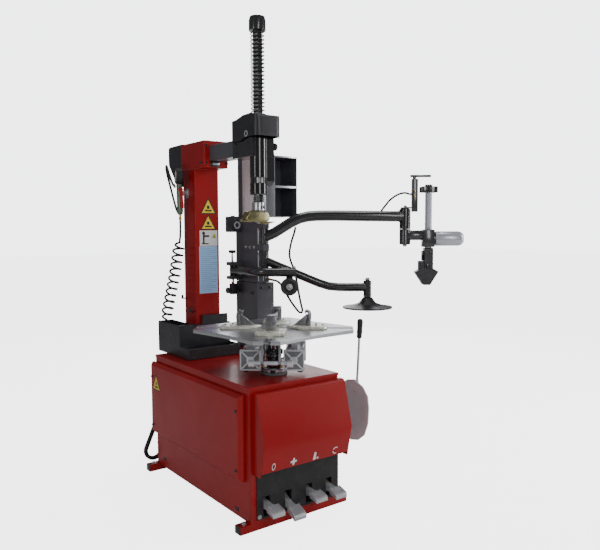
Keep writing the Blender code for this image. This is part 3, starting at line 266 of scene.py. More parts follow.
def make_materials():
    """Every finish, by the short name that the pieces use."""
    red, black = (0.36, 0.004, 0.005), (0.01, 0.01, 0.012)
    # The .edges() tints below lighten the convex edges: part wear, part painted highlight.
    made = {
        "red": painted("red_enamel", red, 0.36, 0.3, 0.12, (0.28, 0.003, 0.004), (0.55, 0.1, 0.1)),
        "black": painted(
            "black_enamel", black, 0.24, 0.6, 0.6, (0.024, 0.024, 0.028), (0.16, 0.16, 0.17)),
        "powder": Surface(
            "black_powder_coat", (0.078, 0.08, 0.096), 0.34, 0.0, 0.25, 0.2
        ) .edges((0.17, 0.17, 0.19), 0.4).rough(14.0, 0.05).grain(900.0, 0.1).done(),
        "gloss": Surface(
            "gloss_black", (0.006, 0.006, 0.007), 0.2, 0.0, 0.6, 0.08)
            .stain(
                30.0, 3.0, 0.5, 0.8, (0.014, 0.014, 0.016), 0.6
            ) .rough(12.0, 0.03).grain(500.0, 0.01).done(),
        "pale": Surface(
            "pale_zinc_paint", (0.74, 0.88, 0.95), 0.4, 0.0, 0.2, 0.2)
            .stain(
                9.0, 4.0, 0.45, 0.75, (0.6, 0.7, 0.77), 0.5
            ) .edges((0.95, 0.96, 0.98), 0.4).rough(18.0, 0.05).grain(500.0, 0.04).done(),
        "darksteel": Surface(
            "dark_hardened_steel", (0.2, 0.2, 0.22), 0.3, 0.8, 0.2, 0.15)
            .stain(
                16.0, 4.0, 0.45, 0.75, (0.34, 0.34, 0.36), 0.5
            ) .edges((0.6, 0.6, 0.62), 0.5).rough(20.0, 0.06).grain(350.0, 0.06).done(),
        "silver": Surface(
            "silver_paint", (0.62, 0.64, 0.72), 0.32, 0.45, 0.2, 0.2)
            .stain(
                12.0, 4.0, 0.5, 0.8, (0.36, 0.37, 0.41), 0.4
            ) .edges((0.75, 0.75, 0.78), 0.4).rough(18.0, 0.05).grain(600.0, 0.05).done(),
        "plastic": Surface(
            "moulded_black_plastic", (0.022, 0.022, 0.027), 0.34)
            .stain(
                25.0, 3.0, 0.4, 0.7, (0.035, 0.035, 0.04), 0.5
            ) .rough(20.0, 0.07).grain(1500.0, 0.18, 1.0, kind="ShaderNodeTexVoronoi").done(),
        "rubber": Surface("black_rubber", (0.014, 0.014, 0.015), 0.62) .stain(
            35.0, 5.0, 0.5, 0.8, (0.05, 0.05, 0.05), 0.4) .rough(30.0, 0.08).grain(700.0, 0.15).done(),
        "steel": brushed("ground_steel", (0.6, 0.61, 0.64), 0.3, (1, 1, 1), 0.015),
        "machined": brushed("machined_steel", (0.62, 0.62, 0.65), 0.32, (1, 1, 30), 0.05),
        "zinc": Surface("bright_zinc", (0.54, 0.55, 0.58), 0.34, 0.8) .stain(
            14.0, 5.0, 0.45, 0.75, (0.42, 0.42, 0.44), 0.6
        ) .stain(40.0, 5.0, 0.6, 0.75, (0.6, 0.5, 0.3), 0.3) .rough(30.0, 0.08).grain(350.0, 0.12).done(),
        "galvanised": Surface("galvanised_sheet", (0.58, 0.6, 0.64), 0.42, 0.0) .stain(
            70.0, 2.0, 0.1, 0.7, (0.86, 0.87, 0.9), 0.8, "ShaderNodeTexVoronoi"
        ) .rough(45.0, 0.12).grain(70.0, 0.1, kind="ShaderNodeTexVoronoi").done(),
        "cast": Surface(
            "cast_aluminium_skin", (0.6, 0.61, 0.64), 0.38, 0.6)
            .stain(
                18.0, 5.0, 0.45, 0.75, (0.36, 0.36, 0.38), 0.5
            ) .edges((0.85, 0.85, 0.87), 0.6).rough(25.0, 0.09).grain(520.0, 0.3, 5.0).done(),
        "gold": Surface(
            "yellow_passivated_steel", (0.32, 0.28, 0.13), 0.3, 1.0)
            .stain(22.0, 4.0, 0.4, 0.7, (0.4, 0.39, 0.3), 0.7) .stain(
                11.0, 2.0, 0.55, 0.75, (0.3, 0.34, 0.3), 0.5
            ) .rough(30.0, 0.07).grain(260.0, 0.18, 4.0).done(),
        "slide": Surface(
            "passivated_slide", (0.74, 0.73, 0.6), 0.28, 0.35)
            .stain(
                26.0, 5.0, 0.45, 0.62, (0.82, 0.82, 0.8), 0.5
            ) .rough(40.0, 0.06).grain(120.0, 0.1, 3.0).done(),
        "brass": Surface(
            "brass", (0.62, 0.42, 0.14), 0.26, 1.0) .rough(60.0, 0.06).grain(400.0, 0.06).done(),
        "grey": Surface(
            "grey_machine_paint", (0.17, 0.18, 0.19), 0.5) .rough(20.0, 0.08).grain(500.0, 0.2).done(),
        "green": Surface(
            "grey_green_lacquer", (0.13, 0.2, 0.13), 0.32, 0.25, 0.3)
            .stain(
                60.0, 4.0, 0.5, 0.75, (0.3, 0.36, 0.28), 0.5
            ) .edges((0.5, 0.52, 0.46), 0.5).rough(60.0, 0.08).grain(500.0, 0.15).done(),}
    for name, colour in (
        ("white_print", (0.86, 0.86, 0.86)), ("yellow_label", (1.0, 0.72, 0.02)),
        ("label_black", (0.02, 0.02, 0.02)), ("label_white", (0.82, 0.82, 0.84)),
        ("label_blue", (0.36, 0.6, 0.92)), ("label_line", (0.22, 0.38, 0.66)),
        ("orange_plastic", (0.75, 0.16, 0.03)), ("red_plastic", (0.55, 0.02, 0.02)),
        ("dial_white", (0.86, 0.86, 0.84))):
        label = Surface(name, colour, 0.38)
        label.stain(45.0, 4.0, 0.5, 0.8, tuple(c * 0.8 for c in colour), 0.4)
        made[name] = label.rough(50.0, 0.06).grain(600.0, 0.04).done()
    return made


# ---------------------------------------------------------------- mesh tools
def mesh_of(bm):
    bmesh.ops.recalc_face_normals(bm, faces=bm.faces)
    mesh = bpy.data.meshes.new("shape")
    bm.to_mesh(mesh)
    bm.free()
    return mesh


def soften(bm, width, segments=2, angle=math.radians(28)):
    """Rounds the edges whose faces meet at more than this angle."""
    bm.normal_update()
    sharp = [e for e in bm.edges if len(e.link_faces) == 2 and e.calc_face_angle() > angle]
    bmesh.ops.bevel(bm, geom=sharp, offset=width, segments=segments, affect="EDGES", profile=0.5)


def block(x, y, z, bevel=0.0015):
    bm = bmesh.new()
    bmesh.ops.create_cube(bm, size=1.0)
    size = Matrix.Diagonal((x[1] - x[0], y[1] - y[0], z[1] - z[0], 1.0))
    middle = Matrix.Translation(((x[0] + x[1]) / 2, (y[0] + y[1]) / 2, (z[0] + z[1]) / 2))
    bmesh.ops.transform(bm, matrix=middle @ size, verts=bm.verts)
    soften(bm, bevel)
    return mesh_of(bm)


def prism(outline, axis, low, high, bevel=0.001, segments=2):
    place = {
        "x": lambda a, b: (low, a, b), "y": lambda a, b: (a, low, b), "z": lambda a, b: (a, b, low),
    }[axis]
    step = {"x": (high - low, 0, 0), "y": (0, high - low, 0), "z": (0, 0, high - low)}[axis]
    bm = bmesh.new()
    face = bm.faces.new([bm.verts.new(place(a, b)) for a, b in outline])
    grown = bmesh.ops.extrude_face_region(bm, geom=[face])
    raised = [item for item in grown["geom"] if isinstance(item, bmesh.types.BMVert)]
    bmesh.ops.translate(bm, vec=step, verts=raised)
    bmesh.ops.recalc_face_normals(bm, faces=bm.faces)
    if bevel:
        soften(bm, bevel, segments)
    return mesh_of(bm)


def turned(profile, steps=32, bevel=0.0):
    """A solid turned about Z from (radius, height) points."""
    bm = bmesh.new()
    verts = [bm.verts.new((radius, 0.0, height)) for radius, height in profile]
    edges = [bm.edges.new(pair) for pair in zip(verts, verts[1:])]
    if profile[0][0] > 1e-9:
        edges.append(bm.edges.new((verts[-1], verts[0])))
    bmesh.ops.spin(bm, geom=verts + edges, cent=(0, 0, 0), axis=(0, 0, 1), angle=math.tau, steps=steps)
    bmesh.ops.remove_doubles(bm, verts=bm.verts, dist=1e-6)
    bmesh.ops.recalc_face_normals(bm, faces=bm.faces)
    if bevel:
        soften(bm, bevel, 2, math.radians(40))
    return mesh_of(bm)


def rod(radius, low, high, steps=24, bevel=0.0006):
    return turned([(0.0, low), (radius, low), (radius, high), (0.0, high)], steps, bevel)


def polar(radius, angle):
    return radius * math.cos(angle), radius * math.sin(angle)


def hollow(inner, outer, low, high, steps, bevel=0.0):
    return turned([(inner, low), (outer, low), (outer, high), (inner, high)], steps, bevel)


def shift(mesh, offset):
    mesh.transform(Matrix.Translation(offset))
    return mesh


def spin(mesh, angle, axis, about=(0, 0, 0)):
    centre = Vector(about)
    mesh.transform(Matrix.Translation(centre) @ Matrix.Rotation(
        angle, 4, axis) @ Matrix.Translation(-centre))
    return mesh


def aim(mesh, spot, direction):
    """Puts a solid made about Z at a spot, its +Z along a direction."""
    turn = Vector((0, 0, 1)).rotation_difference(Vector(direction)).to_matrix().to_4x4()
    mesh.transform(Matrix.Translation(spot) @ turn)
    return mesh


def joined(*meshes):
    bm = bmesh.new()
    for mesh in meshes:
        bm.from_mesh(mesh)
    mesh = bpy.data.meshes.new("joined")
    bm.to_mesh(mesh)
    bm.free()
    return mesh


def smooth_route(points, spacing):
    """Evenly spaced points on a Catmull-Rom curve through the route's own points."""
    route = [Vector(point) for point in points]
    ends = [route[0] * 2 - route[1]] + route + [route[-1] * 2 - route[-2]]
    fine = []
    for a, b, c, d in zip(ends, ends[1:], ends[2:], ends[3:]):
        for step in range(12):
            t = step / 12
            square = 2 * a - 5 * b + 4 * c - d
            cube = 3 * b - a - 3 * c + d
            fine.append(0.5 * (2 * b + (c - a) * t + square * t * t + cube * t ** 3))
    fine.append(route[-1])
    length = run_of(fine)
    count = max(2, round(length / spacing))
    even, walked, target = [fine[0]], 0.0, length / count
    for p, q in zip(fine, fine[1:]):
        run = (q - p).length
        while walked + run >= target * len(even) and len(even) < count:
            even.append(p.lerp(q, (target * len(even) - walked) / run))
        walked += run
    even.append(fine[-1])
    return even


def run_of(points):
    return sum((q - p).length for p, q in zip(points, points[1:]))


def hose_curve(name, points, radius, sides=3):
    curve = bpy.data.curves.new(name, "CURVE")
    curve.dimensions = "3D"
    curve.bevel_depth = radius
    curve.bevel_resolution = sides
    curve.use_fill_caps = True
    spline = curve.splines.new("POLY")
    spline.points.add(len(points) - 1)
    for knot, point in zip(spline.points, points):
        knot.co = (*(Vector(point) + HOME), 1.0)
    spline.use_smooth = True
    return curve


def add(name, mesh, finish, body):
    """Puts a detail mesh, or a list of them as one, made in the machine's frame, on the object."""
    if isinstance(mesh, list):
        mesh = joined(*mesh)
    mesh.name = name
    mesh.transform(Matrix.Translation(HOME))
    mesh.materials.clear()
    mesh.materials.append(FINISH[finish])
    mesh.shade_smooth()
    mesh.set_sharp_from_angle(angle=math.radians(32))
    made = bpy.data.objects.new(name, mesh)
    bpy.context.scene.collection.objects.link(made)
    if body:
        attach(made, body)
    return made


def add_hose(name, points, radius, body):
    """A round rubber hose along points in the machine's frame."""
    made = bpy.data.objects.new(name, hose_curve(name, points, radius))
    made.data.materials.append(FINISH["rubber"])
    bpy.context.scene.collection.objects.link(made)
    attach(made, body)
    return made


def wire_mesh(points, radius, sides=2):
    """A round wire along the points, as a mesh in the machine's frame."""
    holder = bpy.data.objects.new(
        "wire", hose_curve("wire", [Vector(p) - HOME for p in points], radius, sides))
    bpy.context.scene.collection.objects.link(holder)
    bpy.context.view_layer.update()
    graph = bpy.context.evaluated_depsgraph_get()
    mesh = bpy.data.meshes.new_from_object(holder.evaluated_get(graph))
    bpy.data.objects.remove(holder)
    return mesh


def along_x(mesh):
    return spin(mesh, math.pi / 2, "Y")


def on_table(mesh):
    """Puts a mesh made with the front arm along +X on the turntable."""
    return shift(spin(mesh, TABLE_TURN, "Z"), TABLE_AXIS)


def on_arm(mesh):
    """Puts a mesh made along +X from the arm's hinge along the helper's heading."""
    return shift(spin(mesh, ARM_HEADING, "Z"), ARM_PIVOT)


def plate(outline, axis, face, proud):
    """A thin plate on a face, standing proud by this signed amount."""
    return prism(outline, axis, min(face, face + proud), max(face, face + proud), 0)


def rectangle(a, b):
    return [(a[0], b[0]), (a[1], b[0]), (a[1], b[1]), (a[0], b[1])]


def reach(distance, side, z):
    """A point on the helper: distance out along the arms' heading, side to its left."""
    out = Vector((math.cos(ARM_HEADING), math.sin(ARM_HEADING), 0))
    left = Vector((-out.y, out.x, 0))
    return ARM_PIVOT + out * distance + left * side + Vector((0, 0, z))


def hex_bolt(spot, direction, size, washer=True):
    """Hexagon head with a chamfered top, on a washer. size is the head's half width."""
    corners = [polar(size * 1.12, math.pi * k / 3) for k in range(6)]
    head = prism(corners, "z", 0.0012, 0.0012 + size * 0.9, size * 0.12)
    parts = [head, rod(size * 0.45, 0.001, size * 1.25, 12)]
    if washer:
        parts.append(rod(size * 1.5, 0.0, 0.0016, 20))
    return aim(joined(*parts), spot, direction)


def pipe_nut(nut, tall, pipe, low, high, sides=12):
    """A hexagon nut made about Z, with the pipe end that comes out of it."""
    return joined(rod(nut, 0, tall, 6), rod(pipe, low, high, sides))


def cap_screw(spot, direction, size):
    """Round socket head with its hexagon recess."""
    profile = [
        (0.0, 0.0), (size, 0.0), (size, size * 0.8), (size * 0.9, size * 0.95), (size * 0.5, size * 0.95),
        (size * 0.45, size * 0.4), (0.0, size * 0.4),]
    return aim(turned(profile, 18), spot, direction)


# ---------------------------------------------------------------- cords
WHIP_ROUTE = [
    (-0.13, 0.88, 1.49), (-0.133, 0.9, 1.508), (-0.134, 0.93, 1.55), (-0.133, 0.956, 1.59),
    (-0.129, 0.976, 1.605), (-0.124, 0.99, 1.595), (-0.122, 0.985, 1.565), (-0.12, 0.95, 1.49),
    (-0.118, 0.9, 1.39), (-0.116, 0.876, 1.356),]
CURLY_ROUTE = [
    (-0.114, 0.855, 1.316), (-0.114, 0.855, 1.27), (-0.115, 0.857, 1.23), (-0.117, 0.863, 1.2),
    (-0.12, 0.876, 1.15), (-0.126, 0.9, 1.05), (-0.133, 0.93, 0.95), (-0.14, 0.96, 0.86),
    (-0.144, 0.976, 0.805), (-0.145, 0.98, 0.77), (-0.139, 0.973, 0.748), (-0.13, 0.9605, 0.725),
    (-0.129, 0.959, 0.7004),]
HELPER_ROUTE = [
    reach(0.166, 0.004, 1.278), reach(0.158, 0.01, 1.245), reach(0.145, 0.024, 1.205),
    reach(0.134, 0.042, 1.155), reach(0.133, 0.054, 1.12), reach(0.142, 0.062, 1.085),
    reach(0.158, 0.066, 1.045), reach(0.17, 0.062, 0.99), reach(0.18, 0.052, 0.93),
    reach(0.193, 0.038, 0.865), reach(0.201, 0.028, 0.832), reach(0.196, 0.02, 0.818),
    reach(0.184, 0.016, 0.822), reach(0.164, 0.016, 0.845), reach(0.136, 0.02, 0.885),
    reach(0.11, 0.028, 0.93), reach(0.09, 0.04, 0.964), reach(0.066, 0.054, 0.986),
    (0.329, 0.674, 0.9945), (0.3292, 0.69, 0.995),]
CURLY_TOP, CURLY_LOW, CURLY_EASE = 1.205, 0.782, 0.022
CURLY_RADIUS, CURLY_PITCH = 0.0262, 0.0372
POWER_ROUTE = [
    (-0.116, 0.9283, 0.345), (-0.116, 0.948, 0.3445), (-0.1158, 0.968, 0.337), (-0.115, 0.985, 0.319),
    (-0.1135, 0.993, 0.295), (-0.1115, 0.995, 0.27),]


def coil_spot(x, y, z):
    """A point of the coil's own frame, its runs along Z, in its leaning place."""
    turn = Matrix.Rotation(COIL_LEAN, 3, "Y")
    return COIL_CENTRE + turn @ Vector((x, y, z))


def curly_points():
    """The straight ends follow the route, and between them the hose winds round it."""
    axis = smooth_route(CURLY_ROUTE, 0.004)
    points, turn = [], 0.0
    for here, after in zip(axis, axis[1:]):
        leaving = min(max((CURLY_TOP - here.z) / CURLY_EASE, 0.0), 1.0)
        inside = leaving * min(max((here.z - CURLY_LOW) / CURLY_EASE, 0.0), 1.0)
        along = (after - here).normalized()
        side = along.cross(Vector((0, 1, 0))).normalized()
        front = side.cross(along)
        steps = 3 if inside > 0 else 1
        for k in range(steps):
            centre = here.lerp(after, k / steps)
            spread = CURLY_RADIUS * inside
            points.append(centre + side * spread * math.cos(turn) + front * spread * math.sin(turn))
            if inside > 0:
                turn += math.tau * (after - here).length / CURLY_PITCH / steps
    points.append(axis[-1])
    return points


def power_points():
    """From the gland down to the coil, four turns of it, and in to the plug at its middle."""
    points = [Vector(point) for point in POWER_ROUTE]
    half, layers = 0.075, ((0.05, 0.005), (0.05, -0.005), (0.04, -0.005), (0.04, 0.005))
    for number, (radius, y) in enumerate(layers):
        after, y_after = layers[min(number + 1, 3)]
        for z in (0.062, 0.03, 0.0, -0.03, -0.062) if number == 0 else (half, 0.0375, 0.0, -0.0375):
            points.append(coil_spot(radius, y, z))
        for k in range(11):
            angle = -math.pi * k / 10
            points.append(coil_spot(radius * math.cos(angle), y, -half + radius * math.sin(angle)))
        for z in (-0.0375, 0.0, 0.0375):
            points.append(coil_spot(-radius, y, z))
        last = number == 3
        for k in range(10):
            share = k / 10
            angle = math.pi * (1 - share)
            if last:
                points.append(coil_spot(
                    -0.0114 + 0.0286 * math.cos(angle), y * (1 - share), half + 0.0286 * math.sin(angle)))
            else:
                wide = radius + (after - radius) * share
                points.append(coil_spot(
                    wide * math.cos(angle), y + (y_after - y) * share, half + wide * math.sin(angle)))
    points += [coil_spot(0.0172, 0.0, z) for z in (0.075, 0.064, 0.0505)]
    return smooth_route(points, 0.008)


def make_cords():
    whip = smooth_route(WHIP_ROUTE, 0.01)
    piece = add_hose("whip_hose_rubber", whip, 0.006, "column")
    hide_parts("whip_hose")
    curly = curly_points()
    piece = add("curly_hose_rubber", wire_mesh(curly, 0.0055, 2), "rubber", None)
    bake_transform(piece)
    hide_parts("curly_hose")
    helper = smooth_route(HELPER_ROUTE, 0.014)
    piece = add_hose("helper_hose_rubber", helper, 0.006, "carriage")
    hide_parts("helper_hose")
    power = power_points()
    piece = add_hose("power_cable_rubber", power, 0.005, "frame")
    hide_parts("power_cable", "power_coil")
    relief = turned(
        [(0.0052, 0.0), (0.0098, 0.0), (0.0098, 0.004), (0.0082, 0.006), (0.0062, 0.03), (0.0052, 0.03)],
        20)
    relief = aim(relief, (-0.116, 0.9282, 0.345), (0, 1, -0.02))
    add("cable_relief", relief, "rubber", "frame")
    valve = smooth_route([
        reach(0.62, 0, 1.3615), reach(0.636, 0, 1.382), reach(0.668, 0.004, 1.42),
        reach(0.71, 0.006, 1.448), reach(0.746, 0.004, 1.456), reach(0.766, 0, 1.45)], 0.006)
    piece = add("valve_hose_rubber", wire_mesh(valve, 0.0055, 3), "rubber", None)
    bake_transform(piece)


# ---------------------------------------------------------------- carried-over nodes
NODE_FINISH = {
    "red": (
        "cabinet", "side_cover", "front_cover", "front_foot_rail", "rear_foot_rail", "tilt_column",
        "arm_sleeve"
    ),
    "powder": (
        "column_base", "horizontal_beam", "helper_post", "helper_mast", "mast_box", "helper_carriage",
        "return_spring",
    ),
    "black": (
        "head_housing", "hex_shaft", "upper_arm", "press_arm", "valve_lever", "lower_arm", "roller_arm",
        "bead_arm", "bead_handle"
    ),
    "plastic": (
        "tool_tray", "sleeve_cover", "head_cover", "lock_knob", "press_cone", "press_disc", "power_plug"
    ),
    "rubber": (
        "pedal_panel", "wheel_pad", "whip_hose", "curly_hose", "helper_hose", "power_cable", "power_coil",
        "bead_roller"
    ),
    "zinc": ("pedal_bracket", "bead_blade"),
    "slide": ("jaw_1", "jaw_2", "jaw_3", "jaw_4"),
    "steel": ("turntable_plate",),
    "machined": ("turntable_shaft", "press_screw"),
    "cast": (
        "pedal_1", "pedal_2", "pedal_3", "pedal_4", "gearbox_pulley", "chuck_cylinder_left",
        "chuck_cylinder_right", "bead_cylinder"
    ),
    "gold": ("mount_head",),
    "grey": ("motor", "gearbox"),
    "green": ("inflator_gun",),
    "red_plastic": ("inflator_trigger",),
}
BEVELS = {
    "front_cover": 0.006, "side_cover": 0.003, "cabinet": 0.0015, "tilt_column": 0.004,
    "arm_sleeve": 0.003, "head_cover": 0.007, "head_housing": 0.004, "sleeve_cover": 0.005,
    "tool_tray": 0.0025, "horizontal_beam": 0.003, "turntable_plate": 0.0012, "press_cone": 0.004,
    "mount_head": 0.003, "helper_post": 0.003, "bead_blade": 0.0015, "front_foot_rail": 0.002,
    "rear_foot_rail": 0.002, "hex_shaft": 0.002, "mast_box": 0.0006, "pedal_panel": 0.0006}
UNBEVELLED = ("return_spring", "whip_hose", "curly_hose", "helper_hose", "power_cable", "power_coil")


def dress_nodes():
    for finish, names in NODE_FINISH.items():
        for name in names:
            node = NODES[name]
            node.data.materials.clear()
            node.data.materials.append(FINISH[finish])
            if name in UNBEVELLED:
                continue
            weld = node.modifiers.new("weld", "WELD")
            weld.merge_threshold = 0.00002
            bevel = node.modifiers.new("round_edges", "BEVEL")
            bevel.width = BEVELS.get(name, 0.001)
            bevel.segments = 3 if bevel.width > 0.0025 else 2
            bevel.limit_method = "ANGLE"
            bevel.angle_limit = math.radians(35)
            bevel.harden_normals = False
            shade = node.modifiers.new("even_shading", "WEIGHTED_NORMAL")
            shade.keep_sharp = False
            shade.weight = 80


# ---------------------------------------------------------------- cabinet and pedals
COVER_X = -0.2645
COLUMN_FACE = 0.773
PEDAL_X = (-0.16, -0.047, 0.066, 0.179)
PEDAL_EXTRA = (0.0, 0.008, 0.0, 0.0)
PEDAL_DROP = (0.0, 14.0, -2.0, 2.4)
PEDAL_Y, PEDAL_Z = 0.085, 0.118
PEDAL_BODIES = ("pedal_left", "pedal_second", "pedal_third", "pedal_right")


def triangle_label(name, centre, half, height, axis, face, proud, body):
    """Blank triangular sticker: a black rim round a plain yellow field."""
    a, b = centre
    layers = (("rim", "label_black", 1.0, 1.0), ("field", "yellow_label", 0.8, 1.5))
    for part, finish, share, lift in layers:
        middle = b + height / 3
        low, high = middle - share * height / 3, middle + share * height * 2 / 3
        outline = [(a - share * half, low), (a + share * half, low), (a, high)]
        add(name + "_" + part, plate(outline, axis, face, proud * lift), finish, body)
    low, high = b + height * 0.16, b + height * 0.26
    marks = [
        plate(rectangle((a - half * 0.42, a + half * 0.42), (low, high)), axis, face, proud * 2.0),
        plate(
            rectangle((a - half * 0.16, a + half * 0.14), (high + height * 0.06, high + height * 0.26)),
            axis, face, proud * 2.0)]
    add(name + "_mark", joined(*marks), "label_black", body)


def foot_rail_parts():
    caps, bolts, slots = [], [], []
    for y in (0.003, 0.9):
        for side, end in ((-1, -0.288), (1, 0.29)):
            caps.append(block(
                sorted((end, end + side * 0.0014)), (y + 0.0008, y + 0.0442), (0.0008, 0.035), 0.0005))
            bolts.append(hex_bolt((side * 0.258, y + 0.0225, 0.0357), (0, 0, 1), 0.008))
            slots.append(block(
                sorted((end - side * 0.006, end - side * 0.013)), (y + 0.01, y + 0.035), (0.035, 0.036),
                0.0002))
    add("foot_rail_caps", caps, "plastic", "frame")
    add("foot_rail_bolts", bolts, "zinc", "frame")
    add("foot_rail_slots", slots, "label_black", "frame")


def on_skirt(mesh, x):
    """Puts a mark made in XY, facing +Z, on the front cover's lower slope."""
    slope = math.atan2(0.03, 0.142)
    spin(mesh, math.pi / 2 + slope, "X")
    return shift(mesh, (x, -0.0569, 0.284))


def pedal_marks():
    """Plain marks over the pedals: a tall ring, a cross, a bar with a block, an open arc."""
    ring = hollow(0.0105, 0.014, 0.0, 0.0005, 24)
    ring.transform(Matrix.Diagonal((0.62, 1.15, 1.0, 1.0)))
    cross = joined(
        prism(rectangle((-0.016, 0.016), (-0.0045, 0.0045)), "z", 0, 0.0005, 0),
        prism(rectangle((-0.0045, 0.0045), (-0.016, 0.016)), "z", 0, 0.0006, 0))
    bar = joined(
        prism([(-0.015, -0.018), (0.0, -0.018), (0.0, 0.016), (-0.009, 0.018)], "z", 0, 0.0005, 0),
        prism(rectangle((0.005, 0.015), (-0.017, -0.009)), "z", 0, 0.0005, 0))
    arc = []
    for start in (50, 185):
        outer = [polar(0.0165, math.radians(start + 12 * k)) for k in range(10)]
        inner = [polar(0.0125, math.radians(start + 12 * k)) for k in range(9, -1, -1)]
        arc.append(prism(outer + inner, "z", 0, 0.0005, 0))
    marks = (ring, -0.161), (cross, -0.058), (bar, 0.062), (joined(*arc), 0.173)
    add("pedal_marks", [on_skirt(mesh, x) for mesh, x in marks], "white_print", "frame")


def belt():
    """V belt round the motor's pulley and the worm's."""
    ends = ((Vector((0.475, 0.3)), 0.035), (Vector((0.225, 0.47)), 0.095))
    line = ends[1][0] - ends[0][0]
    heading = math.atan2(line.y, line.x)
    lean = math.acos((ends[0][1] - ends[1][1]) / line.length)
    arcs = (
        (ends[0], heading + lean, heading + math.tau - lean), (ends[1], heading - lean, heading + lean))
    loops = []
    for extra in (0.0, 0.006):
        points = []
        for (centre, radius), start, stop in arcs:
            for k in range(17):
                angle = start + (stop - start) * k / 16
                points.append(centre + (radius + extra) * Vector((math.cos(angle), math.sin(angle))))
        loops.append(points)
    bm = bmesh.new()
    rows = [
        [bm.verts.new((x, p.x, p.y)) for p in loop]
        for loop, x in ((loops[0], -0.173), (loops[0], -0.167), (loops[1], -0.165), (loops[1], -0.175))]
    count = len(rows[0])
    for row, after in zip(rows, rows[1:] + rows[:1]):
        for k in range(count):
            bm.faces.new((row[k], row[(k + 1) % count], after[(k + 1) % count], after[k]))
    return mesh_of(bm)


def cabinet_parts():
    shape = block((-0.232, 0.232), (0.0065, 0.912), (0.0364, 0.0384), 0.0004)
    add("cabinet_floor", shape, "powder", "frame")
    shape = block((-0.231, 0.231), (0.177, 0.179), (0.0386, 0.24), 0.0004)
    add("pedal_room_back", shape, "black", "frame")
    shape = [
        cap_screw((COVER_X, y, z), (-1, 0, 0), 0.0065)
        for y, z in ((0.074, 0.506), (0.905, 0.505), (0.074, 0.25), (0.905, 0.25))]
    add("cover_screws", shape, "black", "frame")
    shape = joined(
        hex_bolt((-0.197, -0.001, 0.058), (0, -1, 0), 0.0065),
        hex_bolt((0.224, -0.001, 0.058), (0, -1, 0), 0.0065))
    add("panel_bolts", shape, "zinc", "frame")
    slots = [
        block((-0.2376, -0.2365), y, z, 0.0002)
        for y, z in (((0.099, 0.131), (0.058, 0.074)), ((0.812, 0.844), (0.072, 0.088)))]
    slots += [
        block((-0.11 + 0.05 * k, -0.075 + 0.05 * k), (0.9165, 0.9176), z, 0.0002)
        for z in ((0.47, 0.476), (0.49, 0.496)) for k in range(5)]
    add("cabinet_slots", slots, "label_black", "frame")
    triangle_label("side_sticker", (0.857, 0.44), 0.046, 0.084, "x", COVER_X, -0.0004, "frame")
    add("drive_belt", belt(), "rubber", "frame")
    seam = block((-0.2376, -0.2366), (0.0045, 0.0065), (0.045, 0.585), 0.0003)
    add("corner_seam", seam, "label_black", "frame")
    gland = turned([(0.012, 0.0), (0.017, 0.0), (0.017, 0.007), (0.0125, 0.011)], 8)
    add("cable_gland_nut", aim(gland, (-0.116, 0.9173, 0.345), (0, 1, 0)), "plastic", "frame")
    inlet = joined(rod(0.011, 0.0, 0.01, 6), rod(0.0075, 0.009, 0.03, 16), rod(0.009, 0.022, 0.026, 16))
    add("air_inlet", aim(inlet, (0.12, 0.9172, 0.345), (0, 1, 0)), "brass", "frame")
    foot_rail_parts()
    pedal_marks()


def pedal_parts():
    """Each pedal's foot pad with its raised frame and studs, and its side cheeks."""
    for number, body in enumerate(PEDAL_BODIES):
        x, tip = PEDAL_X[number], -0.095 - PEDAL_EXTRA[number]
        z = PEDAL_Z
        top = [
            (-0.041, z - 0.004), (tip + 0.012, z - 0.0148), (tip + 0.004, z - 0.0185),
            (tip + 0.004, z - 0.024), (-0.041, z - 0.012)]
        rails = [prism(
            [(y, h + 0.0022) for y, h in top[:3]] + [(y, h + 0.001) for y, h in top[3:]], "x", x + a,
            x + b, 0.0006) for a, b in ((-0.031, -0.0275), (0.0275, 0.031))]
        slope = math.atan2(0.0108, -0.041 - tip - 0.012)
        studs = []
        for row in range(5):
            y = tip + 0.018 + row * 0.008
            h = z - 0.004 - (-0.041 - y) * math.tan(slope)
            studs += [
                shift(rod(0.0021, -0.001, 0.0016, 8, 0.0003), (x + (k - 2) * 0.01, y, h))
                for k in range(5)]
        cheek = [
            (0.078, z + 0.012), (0.098, z + 0.006), (0.098, z - 0.01), (0.03, z - 0.026),
            (-0.012, z - 0.03), (-0.042, z - 0.018), (-0.04, z - 0.006), (-0.01, z - 0.008)]
        cheeks = [
            prism(cheek, "x", x + a, x + b, 0.0005) for a, b in ((-0.0158, -0.0132), (0.0132, 0.0158))]
        under = prism(
            [(-0.042, z - 0.014), (tip + 0.006, z - 0.034), (tip + 0.01, z - 0.04), (-0.036, z - 0.03)],
            "x", x - 0.026, x + 0.026, 0.0025)
        made = joined(*rails, *studs, *cheeks, under)
        spin(made, math.radians(PEDAL_DROP[number]), "X", (0, PEDAL_Y, PEDAL_Z))
        add("pedal_trim_%d" % (number + 1), made, "cast", body)


# ---------------------------------------------------------------- turntable
CHUCK_Y, CHUCK_Z, CHUCK_FACE = 0.095, 0.698, 0.115
YOKE_X = 0.176
SLIDE_TOP = 0.8363


